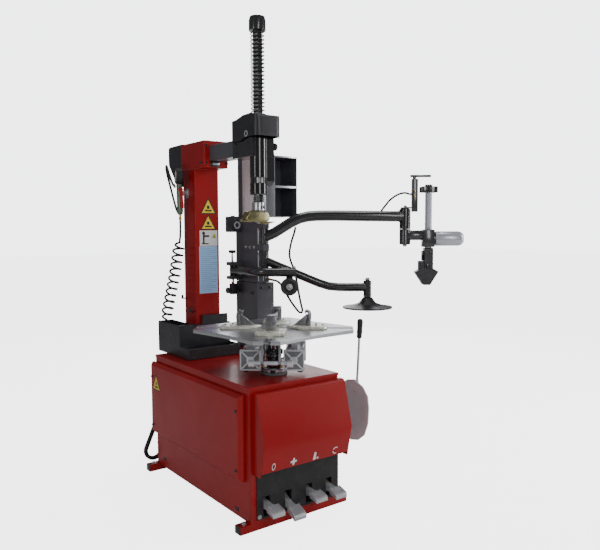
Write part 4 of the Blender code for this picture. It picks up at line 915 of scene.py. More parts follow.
def cap_ribs(end, side):
    """The ribbed face of a clamping cylinder's square cap."""
    face, z, parts = CHUCK_FACE, CHUCK_Z, []
    y = side * CHUCK_Y
    for angle in (45, -45):
        rib = block((face - 0.001, face + 0.0045), (-0.056, 0.056), (-0.0036, 0.0036), 0.0008)
        spin(rib, math.radians(angle), "X")
        parts.append(shift(rib, (0, y, z)))
    frame_bars = (
        (-0.0455, 0.0455, 0.0395, 0.0455), (-0.0455, 0.0455, -0.0455, -0.0395),
        (-0.0455, -0.0395, -0.0455, 0.0455), (0.0395, 0.0455, -0.0455, 0.0455))
    parts += [
        block((face - 0.001, face + 0.003), (y + a, y + b), (z + c, z + d), 0.0008)
        for a, b, c, d in frame_bars]
    parts.append(aim(
        turned([(0.0, 0.0), (0.018, 0.0), (0.016, 0.007), (0.0, 0.0072)], 24), (face, y, z), (1, 0, 0)))
    made = joined(*parts)
    return made if end > 0 else spin(made, math.pi, "Z", (0, y, 0))


def jaw_pieces(arm, body):
    """A wedge-nosed slide plate with its tongue, the hooked jaw on top and, in front, the yoke."""
    nose = [
        (0.056, 0.0), (0.116, -0.063), (0.226, -0.063), (0.24, -0.044), (0.24, 0.044), (0.226, 0.063),
        (0.116, 0.063)]
    slide = [
        prism(nose, "z", 0.8233, SLIDE_TOP, 0.0035, 2),
        block((0.085, 0.2), (-0.0146, 0.0146), (0.808, 0.826), 0.0008)]
    web = prism(
        [(0.088, 0.8355), (0.164, 0.8355), (0.164, 0.885), (0.148, 0.886)], "y", -0.007, 0.007, 0.0012)
    hook = prism([
        (0.146, 0.8355), (0.166, 0.8355), (0.169, 0.88), (0.166, 0.895), (0.16, 0.902), (0.154, 0.905),
        (0.146, 0.9055), (0.14, 0.903), (0.142, 0.897), (0.149, 0.8965), (0.153, 0.893), (0.156, 0.88)
    ], "y", -0.0235, 0.0235, 0.001)
    yoke = []
    if arm == 0:
        bar = aim(rod(0.007, -0.092, 0.092, 20), (YOKE_X, 0, CHUCK_Z), (0, 1, 0))
        yoke = [
            block((0.15, 0.19), (-0.012, 0.012), (0.78, 0.815), 0.001),
            block((0.16, 0.19), (-0.044, 0.044), (0.782, 0.794), 0.001), bar]
        yoke += [
            block((0.171, 0.181), (y - 0.005, y + 0.005), (0.692, 0.788), 0.001) for y in (-0.038, 0.038)]
    halves = (("slide", joined(*slide), "slide"), ("hook", joined(web, hook, *yoke), "darksteel"))
    for word, mesh, finish in halves:
        shape = on_table(spin(mesh, arm * math.pi / 2, "Z"))
        piece = add("jaw_%d_%s" % (arm + 1, word), shape, finish, body)
        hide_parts("jaw_%d" % (arm + 1))


def turntable_parts():
    ribs, screws, rods, feet = [], [], [], []
    for side in (-1, 1):
        y = side * CHUCK_Y
        for end in (-1, 1):
            ribs.append(cap_ribs(end, side))
            for a in (-0.037, 0.037):
                for b in (-0.037, 0.037):
                    screws.append(hex_bolt(
                        (end * CHUCK_FACE, y + a, CHUCK_Z + b), (end, 0, 0), 0.0052, False))
        for a in (-0.037, 0.037):
            for b in (-0.037, 0.037):
                rods.append(shift(along_x(rod(0.0035, -0.097, 0.097, 10)), (0, y + b, CHUCK_Z + a)))
        feet.append(shift(
            turned([(0.0, 0.0), (0.011, 0.0), (0.013, 0.004), (0.013, 0.018), (0.0, 0.018)], 16),
            (0.06, side * 0.12, 0.636)))
    feet.append(shift(
        turned([(0.0, 0.0), (0.01, 0.0), (0.012, 0.004), (0.012, 0.012), (0.0, 0.012)], 16),
        (0.062, 0.0, 0.6295)))
    add("chuck_cap_ribs", on_table(joined(*ribs)), "cast", "turntable")
    # Thin dark grey plates at the back of the caps' recesses, behind the ribs: painted shade in the
    # recesses.
    recess = [block(
        sorted((end * CHUCK_FACE, end * 0.1156)), (side * CHUCK_Y - 0.04, side * CHUCK_Y + 0.04),
        (0.658, 0.738), 0.0001) for side in (-1, 1) for end in (-1, 1)]
    add("chuck_cap_painted_shade", on_table(joined(*recess)), "grey", "turntable")
    add("chuck_tie_rods", on_table(joined(*rods)), "zinc", "turntable")
    add("chuck_cap_screws", on_table(joined(*screws)), "zinc", "turntable")
    add("chuck_buffers", on_table(joined(*feet)), "rubber", "turntable")
    valve = turned([
        (0.0222, 0.7), (0.034, 0.7), (0.034, 0.694), (0.031, 0.69), (0.031, 0.682), (0.034, 0.678),
        (0.034, 0.668), (0.031, 0.664), (0.031, 0.656), (0.034, 0.652), (0.034, 0.648), (0.0222, 0.648)
    ], 32, 0.0006)
    add("rotary_valve", on_table(valve), "black", "turntable")
    disc = turned(
        [(0.036, 0.6425), (0.066, 0.6425), (0.07, 0.645), (0.066, 0.6475), (0.036, 0.6475)], 40, 0.0006)
    add("valve_disc", on_table(disc), "machined", "turntable")
    collar = turned(
        [(0.0222, 0.706), (0.04, 0.706), (0.04, 0.724), (0.03, 0.73), (0.03, 0.766), (0.0222, 0.766)], 32,
        0.0008)
    add("shaft_collar", on_table(collar), "gloss", "turntable")
    spots = [
        aim(rod(0.0045, 0, 0.002, 12), (0.034, y, z), (1, 0, 0))
        for y, z in ((0.004, 0.742), (0.004, 0.756), (0.008, 0.658), (-0.01, 0.658))]
    spots[0:2] = [shift(mesh, (-0.005, 0, 0)) for mesh in spots[0:2]]
    add("valve_spots", on_table(joined(*spots)), "red_plastic", "turntable")
    fittings = []
    for side in (-1, 1):
        for end in (-1, 1):
            spot = (end * 0.106, side * 0.047, 0.668)
            fittings.append(aim(pipe_nut(0.0065, 0.007, 0.004, 0.006, 0.012), spot, (0, -side, 0)))
    fittings += [aim(
        pipe_nut(0.006, 0.007, 0.004, 0.006, 0.01), (0.033 * math.cos(a), 0.033 * math.sin(a), 0.673),
        (math.cos(a), math.sin(a), 0)) for a in (0.55, -0.55, math.pi - 0.55, math.pi + 0.55)]
    add("chuck_fittings", on_table(joined(*fittings)), "brass", "turntable")
    for number, (side, end) in enumerate(((-1, -1), (-1, 1), (1, -1), (1, 1))):
        a = 0.55 * side if end > 0 else math.pi - 0.55 * side
        far = Vector((end * 0.106, side * 0.036, 0.668))
        near = Vector((0.042 * math.cos(a), 0.042 * math.sin(a), 0.673))
        route = [
            near, near + Vector((end * 0.02, side * 0.004, -0.006)),
            Vector((end * 0.086, side * 0.022, 0.66)), far]
        mesh = wire_mesh(smooth_route(route, 0.006), 0.0032)
        add("chuck_tube_%d" % (number + 1), on_table(mesh), "rubber", "turntable")
    sleeves = [
        aim(rod(0.01, -0.016, 0.016, 20), (YOKE_X, side * 0.06, CHUCK_Z), (0, 1, 0)) for side in (-1, 1)]
    sleeves.append(aim(rod(0.009, -0.03, 0.03, 20), (YOKE_X, 0, CHUCK_Z), (0, 1, 0)))
    add("yoke_bushes", on_table(joined(*sleeves)), "silver", "jaw_front")
    profile = [
        (0.0, -0.013), (0.014, -0.013), (0.0155, -0.011), (0.0155, 0.011), (0.014, 0.013), (0.0, 0.013)]
    blocks = [aim(turned(profile, 28), (0.19, side * 0.082, CHUCK_Z), (0, 1, 0)) for side in (-1, 1)]
    add("yoke_ends", on_table(joined(*blocks)), "cast", "jaw_front")
    for arm, body in enumerate(("jaw_front", "jaw_second", "jaw_third", "jaw_fourth")):
        jaw_pieces(arm, body)
        parts = [
            cap_screw((x, y, SLIDE_TOP), (0, 0, 1), 0.005)
            for x, y in ((0.19, -0.03), (0.19, 0.03), (0.22, 0.0))]
        parts += [block(
            (0.138 + 0.002 * k, 0.142 + 0.002 * k), (-0.0235, 0.0235),
            (0.896 - 0.0035 * k, 0.8975 - 0.0035 * k), 0.0003) for k in range(3)]
        made = joined(*parts)
        add("jaw_trim_%d" % (arm + 1), on_table(spin(made, arm * math.pi / 2, "Z")), "zinc", body)
    cap = turned([(0.0, 0.8232), (0.0098, 0.8232), (0.009, 0.826), (0.0, 0.8265)], 32)
    add("table_centre_cap", on_table(cap), "machined", "turntable")


# ---------------------------------------------------------------- column and inflator
def column_parts():
    triangle_label(
        "column_sticker_high", (0.006, 1.347), 0.047, 0.085, "y", COLUMN_FACE, -0.0004, "column")
    triangle_label("column_sticker_low", (0.005, 1.266), 0.047, 0.08, "y", COLUMN_FACE, -0.0004, "column")
    shape = plate(rectangle((-0.046, 0.058), (1.182, 1.262)), "y", COLUMN_FACE, -0.0004)
    add("column_label_white", shape, "label_white", "column")
    shapes = [
        plate(rectangle(a, b), "y", COLUMN_FACE, -0.0006)
        for a, b in (
            ((-0.034, 0.006), (1.19, 1.196)), ((-0.028, -0.018), (1.196, 1.238)),
            ((-0.018, 0.01), (1.228, 1.238)))]
    shapes.append(aim(rod(0.009, 0, 0.0006, 24, 0), (-0.023, COLUMN_FACE, 1.247), (0, -1, 0)))
    add("column_label_shapes", shapes, "label_black", "column")
    triangle_label(
        "column_label_mark", (0.04, 1.222), 0.014, 0.024, "y", COLUMN_FACE - 0.0004, -0.0003, "column")
    shape = plate(rectangle((-0.05, 0.057), (0.934, 1.18)), "y", COLUMN_FACE, -0.0004)
    add("column_label_blue", shape, "label_blue", "column")
    lines = []
    for k in range(22):
        z = 1.166 - k * 0.0102
        end = 0.047 if k % 3 else 0.022
        lines.append(plate(rectangle((-0.042, end), (z - 0.0016, z + 0.0016)), "y", COLUMN_FACE, -0.0006))
    add("column_label_lines", lines, "label_line", "column")
    shape = block((-0.04, 0.012), (0.6594, 0.6604), (1.58, 1.6068), 0.0002)
    add("sleeve_slot", shape, "label_black", "column")
    shape = shift(along_x(rod(0.0088, -0.02, 0.02, 24)), (-0.012, 0.658, 1.5965))
    add("sleeve_roller", shape, "machined", "column")
    bolts = [
        cap_screw(spot, way, 0.006)
        for spot, way in (
            ((-0.062, 0.66, 1.686), (0, -1, 0)), ((-0.062, 0.66, 1.6), (0, -1, 0)),
            ((0.054, 0.66, 1.6), (0, -1, 0)), ((0.054, 0.66, 1.7), (0, -1, 0)),
            ((-0.076, 0.69, 1.602), (-1, 0, 0)), ((-0.076, 0.88, 1.602), (-1, 0, 0)))]
    bolts += [
        cap_screw((-0.03, 0.7, 1.7103), (0, 0, 1), 0.006),
        cap_screw((0.02, 0.7, 1.7103), (0, 0, 1), 0.006)]
    add("sleeve_bolts", bolts, "black", "column")
    weld = wire_mesh([
        (-0.0695, 0.7725, 1.5762), (0.0695, 0.7725, 1.5762), (0.0695, 0.9055, 1.5762),
        (-0.0695, 0.9055, 1.5762), (-0.0695, 0.7725, 1.5762)], 0.0022)
    add("sleeve_weld", weld, "red", "column")
    hooks = []
    for y, z in (((0.884, 0.902), 0.9), ((0.8, 0.82), 0.836)):
        hooks += [
            block((-0.088, -0.0688), y, (z, z + 0.005), 0.001),
            block((-0.092, -0.087), y, (z, z + 0.022), 0.001)]
    add("column_hooks", hooks, "plastic", "column")
    pins = [aim(
        turned([(0.0, 0.0), (0.0185, 0.0), (0.0185, 0.003), (0.0, 0.005)], 24),
        (side * 0.089, 0.86, 0.712), (side, 0, 0)) for side in (-1, 1)]
    add("tilt_pin_heads", pins, "zinc", "frame")
    bolts = [hex_bolt((x, 0.805, 0.6302), (0, 0, 1), 0.009) for x in (-0.055, 0.055)]
    add("column_base_bolts", bolts, "zinc", "frame")


def gauge_place(mesh):
    """Turns a solid made about Z to the gauge's axis, its top at the dial."""
    spin(mesh, -math.pi / 2, "Y")
    spin(mesh, math.radians(-17.0), "Z")
    return shift(mesh, (-0.119, 0.853, 1.543))


def inflator_parts():
    boot = turned([
        (0.0, -0.018), (0.036, -0.018), (0.041, -0.013), (0.041, 0.013), (0.0385, 0.018), (0.0345, 0.018),
        (0.0335, 0.0135), (0.0, 0.0135)], 40)
    boot = add("gauge_boot", gauge_place(boot), "rubber", "column")
    dial = add("gauge_dial", gauge_place(rod(0.0333, 0.0136, 0.0143, 36, 0)), "dial_white", "column")
    ticks = []
    for k in range(13):
        tick = block((0.0245 if k % 3 == 0 else 0.027, 0.031), (-0.0005, 0.0005), (0.0143, 0.0147), 0)
        ticks.append(spin(tick, math.radians(-45 + 22.5 * k), "Z"))
    ticks += [
        spin(block((-0.004, 0.024), (-0.0008, 0.0008), (0.0148, 0.0156), 0), math.radians(200), "Z"),
        rod(0.0032, 0.0143, 0.0164, 16)]
    marks = add("gauge_marks", gauge_place(joined(*ticks)), "label_black", "column")
    body = prism([
        (0.838, 1.368), (0.846, 1.346), (0.86, 1.342), (0.868, 1.356), (0.871, 1.42), (0.873, 1.5),
        (0.868, 1.514), (0.848, 1.514), (0.8465, 1.48), (0.844, 1.4)], "x", -0.1262, -0.1018, 0.005, 3)
    body = add("inflator_body", body, "green", "column")
    hook = joined(
        block((-0.104, -0.0693), (0.852, 0.864), (1.442, 1.468), 0.001),
        block((-0.0712, -0.0693), (0.846, 0.87), (1.43, 1.48), 0.0005))
    hook = add("inflator_hook", hook, "zinc", "column")
    brass = joined(rod(0.006, 1.33, 1.343, 20, 0), rod(0.0085, 1.3165, 1.33, 6, 0.0006))
    brass = add("inflator_fittings", shift(brass, (-0.114, 0.855, 0)), "brass", "column")
    for piece in (boot, dial, marks, body, hook, brass):
        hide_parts("inflator_gun")
    route = [
        (-0.136, 0.846, 1.502), (-0.137, 0.837, 1.478), (-0.124, 0.836, 1.468), (-0.104, 0.842, 1.472),
        (-0.09, 0.85, 1.478)]
    add("inflator_guard", wire_mesh(smooth_route(route, 0.004), 0.003), "red_plastic", "column")
    nut = joined(rod(0.0075, -0.004, 0.006, 6), rod(0.0055, 0.005, 0.016, 16))
    add("whip_nut_top", aim(nut, (-0.1302, 0.88, 1.49), (0, 0.6, 0.8)), "zinc", "column")
    shape = aim(rod(0.007, -0.01, 0.004, 6), (-0.116, 0.8765, 1.357), (0, 0.3, -1))
    add("whip_nut_low", shape, "brass", "column")


# ---------------------------------------------------------------- head
SPRING_RADIUS = 0.0298
SPRING_ENDS = (1.7905, 2.157)


def on_shaft(mesh):
    """Puts a mesh made about Z on the tool shaft's axis."""
    return shift(mesh, (0, SHAFT_Y, 0))


def head_parts():
    turns, per_turn = 21, 20
    low, high = SPRING_ENDS
    points = []
    for k in range(turns * per_turn + 1):
        x, y = polar(SPRING_RADIUS, math.tau * k / per_turn)
        points.append((x, SHAFT_Y + y, low + (high - low) * k / (turns * per_turn)))
    spring = add("return_spring_wire", wire_mesh(points, 0.0028), "gloss", "beam")
    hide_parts("return_spring")
    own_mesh(spring)
    tube = turned([
        (0.0255, 1.4245), (0.0365, 1.4245), (0.0392, 1.428), (0.0392, 1.476), (0.0365, 1.4785),
        (0.0365, 1.5005), (0.0392, 1.503), (0.0392, 1.6835), (0.0255, 1.6835)], 48)
    add("guide_tube", on_shaft(tube), "gloss", "beam")
    ring = hollow(0.0102, 0.0128, 0.0, 0.0008, 32)
    add("cover_ring_mark", aim(ring, (-0.0611, 0.292, 1.699), (-1, 0, 0)), "label_white", "beam")
    screws = [
        cap_screw(spot, way, 0.0055)
        for spot, way in (
            ((-0.0392, SHAFT_Y, 1.44), (-1, 0, 0)), ((0.0735, 0.31, 1.56), (1, 0, 0)),
            ((0.0735, 0.31, 1.5), (1, 0, 0)), ((-0.05, 0.4, 1.66), (-1, 0, 0)),
            ((-0.05, 0.4, 1.62), (-1, 0, 0)), ((-0.05, 0.3, 1.66), (-1, 0, 0)))]
    add("head_screws", screws, "black", "beam")
    wiper = turned([(0.0255, 1.7875), (0.037, 1.7875), (0.036, 1.7895), (0.0255, 1.7895)], 32)
    add("spring_seat", on_shaft(wiper), "zinc", "beam")
    clamp = turned([
        (0.0, 1.3528), (0.0295, 1.3528), (0.0306, 1.3545), (0.0306, 1.3885), (0.0295, 1.3905),
        (0.0, 1.3905)], 36)
    add("shaft_clamp", on_shaft(clamp), "machined", "tool_shaft")
    slits = [
        block((x - 0.0035, x + 0.0035), (0.254, 0.26), (1.36, 1.376), 0.0008) for x in (-0.006, 0.008)]
    slits.append(block((-0.02, -0.0186), (0.258, 0.27), (1.3535, 1.39), 0.0002))
    add("clamp_screws", slits, "label_black", "tool_shaft")
    rings = [hollow(0.02, 0.0262, z, z + 0.004, 32, 0.0005) for z in (1.3935, 1.402, 1.4105)]
    add("shaft_rings", on_shaft(joined(*rings)), "gloss", "tool_shaft")
    top = turned([(0.0, 2.2215), (0.012, 2.2215), (0.011, 2.2219), (0.0, 2.2219)], 24)
    add("shaft_top_plug", on_shaft(top), "rubber", "tool_shaft")
    dome = prism([
        (-0.088, 1.312), (-0.08, 1.324), (-0.066, 1.346), (-0.048, 1.3525), (0.024, 1.3525),
        (0.04, 1.344), (0.047, 1.326), (0.044, 1.306), (0.02, 1.299), (-0.03, 1.299), (-0.056, 1.304),
        (-0.074, 1.306)], "y", 0.26, 0.306, 0.006, 3)
    lip = prism(
        [(-0.101, 1.305), (-0.093, 1.31), (-0.05, 1.312), (-0.04, 1.3), (-0.092, 1.3)], "y", 0.268, 0.3,
        0.003, 2)
    wing = prism([
        (-0.008, 1.302), (0.04, 1.303), (0.0755, 1.3035), (0.074, 1.299), (0.048, 1.293), (0.02, 1.2885)
    ], "y", 0.264, 0.296, 0.0016, 2)
    duck = add("mount_head_shape", joined(dome, lip, wing), "gold", "tool_shaft")
    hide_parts("mount_head")
    shape = aim(
        joined(rod(0.009, 0, 0.005, 6), rod(0.012, -0.001, 0.001, 20)), (0, SHAFT_Y, 1.2985), (0, 0, -1))
    add("mount_head_bolt", shape, "zinc", "tool_shaft")


# ---------------------------------------------------------------- helper
def helper_frame_parts():
    sheets = [
        block((0.2625, 0.263), (0.705, 0.848), (1.336, 1.645), 0),
        block((0.266, 0.319), (0.6995, 0.7), (1.336, 1.65), 0),
        block((0.3838, 0.385), (0.711, 0.869), (1.336, 1.663), 0.0003)]
    add("mast_sheets", sheets, "galvanised", "frame")
    edges = [
        block((0.388, 0.532), (0.7088, 0.71), (1.4945, 1.5055), 0.0003),
        block((0.385, 0.535), (0.709, 0.71), (1.66, 1.6675), 0.0003),
        block((0.5322, 0.535), (0.709, 0.71), (1.335, 1.66), 0.0003),
        block((0.264, 0.499), (0.711, 0.869), (1.6682, 1.669), 0.0003)]
    add("mast_box_edges", edges, "zinc", "frame")
    bolts = [hex_bolt((0.252, y, z), (-1, 0, 0), 0.0085) for y, z in ((0.74, 0.92), (0.86, 0.92))]
    bolts += [hex_bolt((x, 0.69, z), (0, -1, 0), 0.006) for x, z in ((0.28, 0.95), (0.335, 0.95))]
    bolts += [hex_bolt((x, y, 1.6692), (0, 0, 1), 0.0065) for x in (0.279, 0.306) for y in (0.73, 0.85)]
    add("post_bolts", bolts, "black", "frame")


TEE_PIN = (0.206, 0.87, 0)
HINGE_PIN = (0.206, 0.862, 0)


def carriage_parts():
    strips = [
        block((x - 0.0022, x + 0.0022), (0.69, 0.6912), (0.99, 1.3), 0.0004)
        for x in (0.26, 0.2925, 0.324)]
    add("carriage_strips", strips, "machined", "carriage")
    nuts = [hex_bolt((0.308, 0.691, 1.218), (0, -1, 0), 0.0065)]
    nuts += [hex_bolt((0.308, 0.691, z), (0, -1, 0), 0.0055) for z in (1.01, 1.115)]
    nuts += [hex_bolt((0.254, y, 1.17), (-1, 0, 0), 0.0065) for y in (0.72, 0.76, 0.8)]
    nuts += [
        shift(rod(0.0125, 1.3045, 1.31, 6), ARM_PIVOT),
        shift(rod(0.0125, 1.3385, 1.343, 6), (0.212, 0.87, 0))]
    add("carriage_nuts", nuts, "zinc", "carriage")
    hinge = [
        block((0.186, 0.252), (0.8435, 0.845), (1.2535, 1.3365), 0.0004),
        block((0.18, 0.1822), (0.845, 0.895), (1.2535, 1.3365), 0.0004)]
    ring = aim(hollow(0.012, 0.021, 0.0, 0.006, 28, 0.0008), (0.222, 0.8435, 1.29), (0, -1, 0))
    add("hinge_plates", hinge, "black", "carriage")
    add("hinge_ring", ring, "silver", "carriage")
    stem = joined(
        shift(rod(0.0055, 1.088, 1.128, 16), TEE_PIN), shift(rod(0.004, 1.126, 1.14, 12), TEE_PIN))
    add("tee_pin", stem, "zinc", "carriage")
    grip = turned(
        [(0.0, 1.136), (0.016, 1.136), (0.02, 1.141), (0.02, 1.149), (0.016, 1.153), (0.0, 1.153)], 20)
    add("tee_pin_knob", shift(grip, TEE_PIN), "plastic", "carriage")
    cap = joined(
        shift(rod(0.007, 0.986, 0.9945, 6), HINGE_PIN), shift(rod(0.005, 0.972, 0.988, 12), HINGE_PIN))
    add("hinge_pin_end", cap, "zinc", "carriage")
    shape = aim(pipe_nut(0.0085, 0.009, 0.0065, 0.008, 0.014, 16), (0.3292, 0.6912, 0.995), (0, -1, 0))
    add("hose_collar", shape, "brass", "carriage")
    valve = joined(
        block((0.205, 0.244), (0.88, 0.905), (0.905, 0.965), 0.002),
        block((0.24, 0.2515), (0.884, 0.9), (0.925, 0.95), 0.001))
    add("air_valve_block", valve, "plastic", "frame")
    shape = shift(rod(0.0085, 0.965, 0.976, 20), (0.222, 0.892, 0))
    add("air_valve_plug", shape, "orange_plastic", "frame")
    knob = turned(
        [(0.0, 0.0), (0.006, 0.0), (0.006, 0.01), (0.017, 0.012), (0.017, 0.022), (0.0, 0.024)], 20)
    add("air_valve_knob", aim(knob, (0.206, 0.893, 0.928), (-1, 0, 0)), "black", "frame")


def screw_thread(radius, low, high, pitch):
    profile = [(0.0, low)]
    z = low
    while z < high - pitch:
        profile += [(radius - 0.0014, z), (radius, z + pitch * 0.45), (radius, z + pitch * 0.6)]
        z += pitch
    return turned(profile + [(radius - 0.0014, high), (0.0, high)], 24)


def star(outer, inner, low, high, bevel):
    """A knob with six rounded lobes."""
    points = []
    for k in range(36):
        angle = math.tau * k / 36
        points.append(polar(inner + (outer - inner) * (0.5 + 0.5 * math.cos(6 * angle)), angle))
    return prism(points, "z", low, high, bevel, 2)


HANDLE_Z = 1.214


def press_parts():
    spot = BARREL_REACH
    barrel = turned(
        [(0.0, 1.1835), (0.026, 1.1835), (0.029, 1.187), (0.029, 1.262), (0.0275, 1.2652), (0.0, 1.2652)],
        32)
    end_ring = turned([(0.0, 0.0), (0.033, 0.0), (0.0362, 0.006), (0.033, 0.011), (0.0, 0.011)], 32)
    up = [
        shift(barrel, (spot, 0, 0)), shift(rod(0.012, 1.26, 1.374, 24), (spot, 0, 0)),
        shift(rod(0.024, 1.3718, 1.38, 28, 0.001), (spot, 0, 0)),
        shift(along_x(rod(0.026, spot + 0.005, SCREW_REACH - 0.02, 32)), (0, 0, 1.232)),
        block((SCREW_REACH - 0.033, SCREW_REACH + 0.03), (-0.031, 0.031), (1.17, 1.262), 0.005),
        block((spot, spot + 0.06), (-0.009, 0.009), (1.3745, 1.382), 0.001),
        block((spot + 0.034, spot + 0.066), (-0.012, 0.012), (1.356, 1.529), 0.0025),
        shift(along_x(end_ring), (SCREW_REACH + 0.026, 0, HANDLE_Z))]
    frame_piece = add("press_arm_shape", on_arm(joined(*up)), "black", "helper_end")
    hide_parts("press_arm")
    grip = turned([
        (0.0, 0.008), (0.036, 0.008), (0.0385, 0.012), (0.0385, 0.131), (0.036, 0.1415), (0.031, 0.1495),
        (0.0235, 0.156), (0.012, 0.1595), (0.0, 0.16)], 40)
    shape = on_arm(shift(along_x(grip), (SCREW_REACH + 0.028, 0, HANDLE_Z)))
    handle = add("press_handle_grip", shape, "silver", "helper_end")
    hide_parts("press_arm")
    lever = [
        block((spot + 0.026, spot + 0.136), (-0.0075, 0.0075), (1.5378, 1.55), 0.003),
        block((spot + 0.04, spot + 0.056), (-0.007, 0.007), (1.5293, 1.542), 0.001)]
    lever = add("valve_lever_shape", on_arm(joined(*lever)), "black", "valve_handle")
    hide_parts("valve_lever")
    bolts = [
        hex_bolt(reach(spot, 0, 1.3802), (0, 0, 1), 0.0085, False),
        hex_bolt(reach(spot, 0, 1.1833), (0, 0, -1), 0.0095)]
    add("press_arm_bolts", bolts, "zinc", "helper_end")
    side = Vector((-math.sin(ARM_HEADING), math.cos(ARM_HEADING), 0))
    brass = [
        aim(pipe_nut(0.0062, 0.006, 0.0045, 0.005, 0.01), reach(spot + 0.05, -0.012, z), -side)
        for z in (1.436, 1.462)]
    add("valve_fittings", brass, "brass", "helper_end")
    elbow = aim(
        pipe_nut(0.007, 0.007, 0.0052, 0.006, 0.014, 16), reach(spot + 0.034, 0, 1.449),
        reach(-1, 0, 0) - ARM_PIVOT)
    add("valve_elbow", elbow, "zinc", "helper_end")
    shape = shift(screw_thread(0.019, 1.166, 1.454, 0.006), reach(SCREW_REACH, 0, 0))
    screw = add("press_screw_thread", shape, "silver", "presser")
    neck = joined(rod(0.008, 1.105, 1.168, 20), rod(0.0125, 1.452, 1.46, 20))
    neck = add("press_screw_neck", shift(neck, reach(SCREW_REACH, 0, 0)), "machined", "presser")
    knob = joined(
        star(0.05, 0.037, 1.457, 1.488, 0.003),
        turned([(0.0, 1.486), (0.02, 1.486), (0.019, 1.4985), (0.0, 1.4995)], 28))
    knob = add("press_screw_knob", shift(knob, reach(SCREW_REACH, 0, 0)), "black", "presser")
    for piece in (screw, neck, knob):
        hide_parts("press_screw")
    latch = [
        on_arm(block((SCREW_REACH - 0.036, SCREW_REACH - 0.0235), (-0.006, 0.006), (1.098, 1.15), 0.002)),
        hex_bolt(reach(SCREW_REACH - 0.006, -0.0242, 1.068), -side, 0.0075),
        hex_bolt(reach(SCREW_REACH + 0.01, -0.0242, 1.14), -side, 0.0055)]
    add("presser_latch", latch, "gloss", "presser")


def arm_parts():
    seam = turned([(0.0285, -0.003), (0.0312, -0.002), (0.0312, 0.002), (0.0285, 0.003)], 28)
    seam = aim(seam, reach(BARREL_REACH - 0.0305, 0, 1.333), reach(1, 0, 0) - ARM_PIVOT)
    add("upper_arm_weld", seam, "black", "helper_upper")
    shape = aim(
        joined(rod(0.0115, 0, 0.009, 6, 0.0012), rod(0.017, -0.001, 0.0015, 24)),
        reach(DISC_REACH, 0, 0.9982), (0, 0, 1))
    add("disc_nut", shape, "zinc", "disc")
    ridges = []
    for r in (0.104, 0.088):
        rise = 0.0105 * (0.125 - r)
        ridges.append(turned(
            [(r, 0.853 + rise), (r + 0.004, 0.855 + rise), (r + 0.008, 0.852 + rise)], 48))
    add("disc_ridges", shift(joined(*ridges), reach(DISC_REACH, 0, 0.0)), "plastic", "disc")
    way = Vector((math.sin(ARM_HEADING), -math.cos(ARM_HEADING), 0))
    centre = Vector((0.332, 0.506, 0.967))
    rim = turned(
        [(0.03, 0.014), (0.041, 0.014), (0.041, 0.0172), (0.0385, 0.018), (0.032, 0.018), (0.03, 0.0168)],
        40)
    add("roller_rim", aim(rim, centre, way), "plastic", "roller")
    washer = hollow(0.0085, 0.0165, 0.018, 0.0205, 32, 0.0004)
    add("roller_washer", aim(washer, centre, way), "machined", "roller")
    shape = aim(shift(rod(0.0088, 0, 0.0065, 6, 0.001), (0, 0, 0.0212)), centre, way)
    add("roller_axle_nut", shape, "zinc", "roller_lever")
    shape = hex_bolt(reach(0.158, -0.062, 1.066), (0, 0, 1), 0.0075)
    add("roller_arm_bolt", shape, "zinc", "roller_lever")


# ---------------------------------------------------------------- bead breaker
def dished_blade():
    """The shovel: a rim that folds in to a set-back middle face, of even thickness."""
    outline = [
        (0.078, 0.545), (0.018, 0.52), (-0.016, 0.48), (-0.024, 0.425), (-0.018, 0.35), (0.006, 0.29),
        (0.05, 0.255), (0.1, 0.244), (0.15, 0.258), (0.194, 0.305), (0.214, 0.37), (0.21, 0.44),
        (0.18, 0.5), (0.13, 0.536)]
    middle = Vector((0.096, 0.392))
    bm = bmesh.new()
    layers = []
    for thick in (0.0, 0.0055):
        rim = [bm.verts.new((0.403 + thick, y, z)) for y, z in outline]
        inner = [bm.verts.new((0.4115 + thick, *(middle + (Vector(p) - middle) * 0.6))) for p in outline]
        for k in range(len(outline)):
            after = (k + 1) % len(outline)
            bm.faces.new((rim[k], rim[after], inner[after], inner[k]))
        bm.faces.new(inner)
        layers.append(rim)
    for k in range(len(outline)):
        after = (k + 1) % len(outline)
        bm.faces.new((layers[0][k], layers[0][after], layers[1][after], layers[1][k]))
    bmesh.ops.recalc_face_normals(bm, faces=bm.faces)
    return mesh_of(bm)


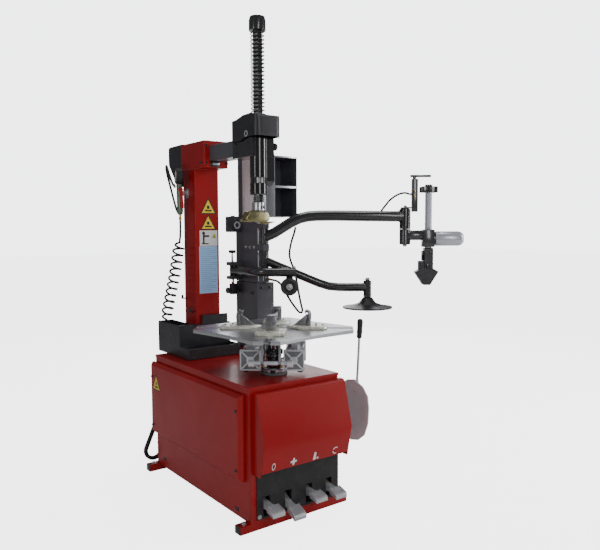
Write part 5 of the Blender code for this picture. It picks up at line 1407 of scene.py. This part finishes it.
def breaker_parts():
    px, py = 0.434, 0.1
    ears = [
        block((0.412, px + 0.02), (py - 0.02, py + 0.02), z, 0.002)
        for z in ((0.33, 0.3485), (0.4215, 0.44))]
    pin = shift(rod(0.008, 0.336, 0.434, 20), (px, py, 0))
    blade = add("bead_blade_shovel", dished_blade(), "pale", "breaker_blade")
    hinge = add("bead_blade_hinge", joined(*ears, pin), "zinc", "breaker_blade")
    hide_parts("bead_blade")
    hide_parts("bead_blade")
    x = 0.4113
    rod_mesh = wire_mesh(
        smooth_route([(x + 0.006, 0.078, 0.5), (x + 0.006, 0.07, 0.57), (x + 0.004, 0.055, 0.76)], 0.01),
        0.006, 4)
    foot = block((x, x + 0.006), (0.06, 0.096), (0.48, 0.542), 0.001)
    bolts = [hex_bolt((x + 0.006, y, z), (1, 0, 0), 0.006) for y, z in ((0.078, 0.492), (0.078, 0.53))]
    rod_piece = add("bead_handle_rod", joined(rod_mesh, foot, *bolts), "machined", "breaker_blade")
    grip = turned([
        (0.0, 0.0), (0.01, 0.0), (0.0128, 0.006), (0.012, 0.014), (0.0135, 0.03), (0.0125, 0.05),
        (0.0138, 0.072), (0.0138, 0.082), (0.01, 0.0915), (0.0, 0.094)], 24)
    spin(grip, math.radians(4.5), "X")
    grip = add("bead_handle_grip", shift(grip, (x + 0.004, 0.056, 0.748)), "rubber", "breaker_blade")
    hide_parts("bead_handle")
    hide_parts("bead_handle")
    seal = turned([(0.0112, 0.2362), (0.028, 0.2362), (0.028, 0.24), (0.02, 0.243), (0.0112, 0.243)], 28)
    add("ram_seal", shift(along_x(seal), (0, 0.65, 0.32)), "rubber", "frame")
    nut = shift(rod(0.015, 0.379, 0.387, 6, 0.0012), (0.285, 0.8, 0))
    add("breaker_pin_nut", nut, "zinc", "frame")


FINISH = make_materials()
make_camera()
make_cords()
cabinet_parts()
pedal_parts()
turntable_parts()
column_parts()
inflator_parts()
head_parts()
helper_frame_parts()
carriage_parts()
press_parts()
arm_parts()
breaker_parts()
dress_nodes()
make_studio()
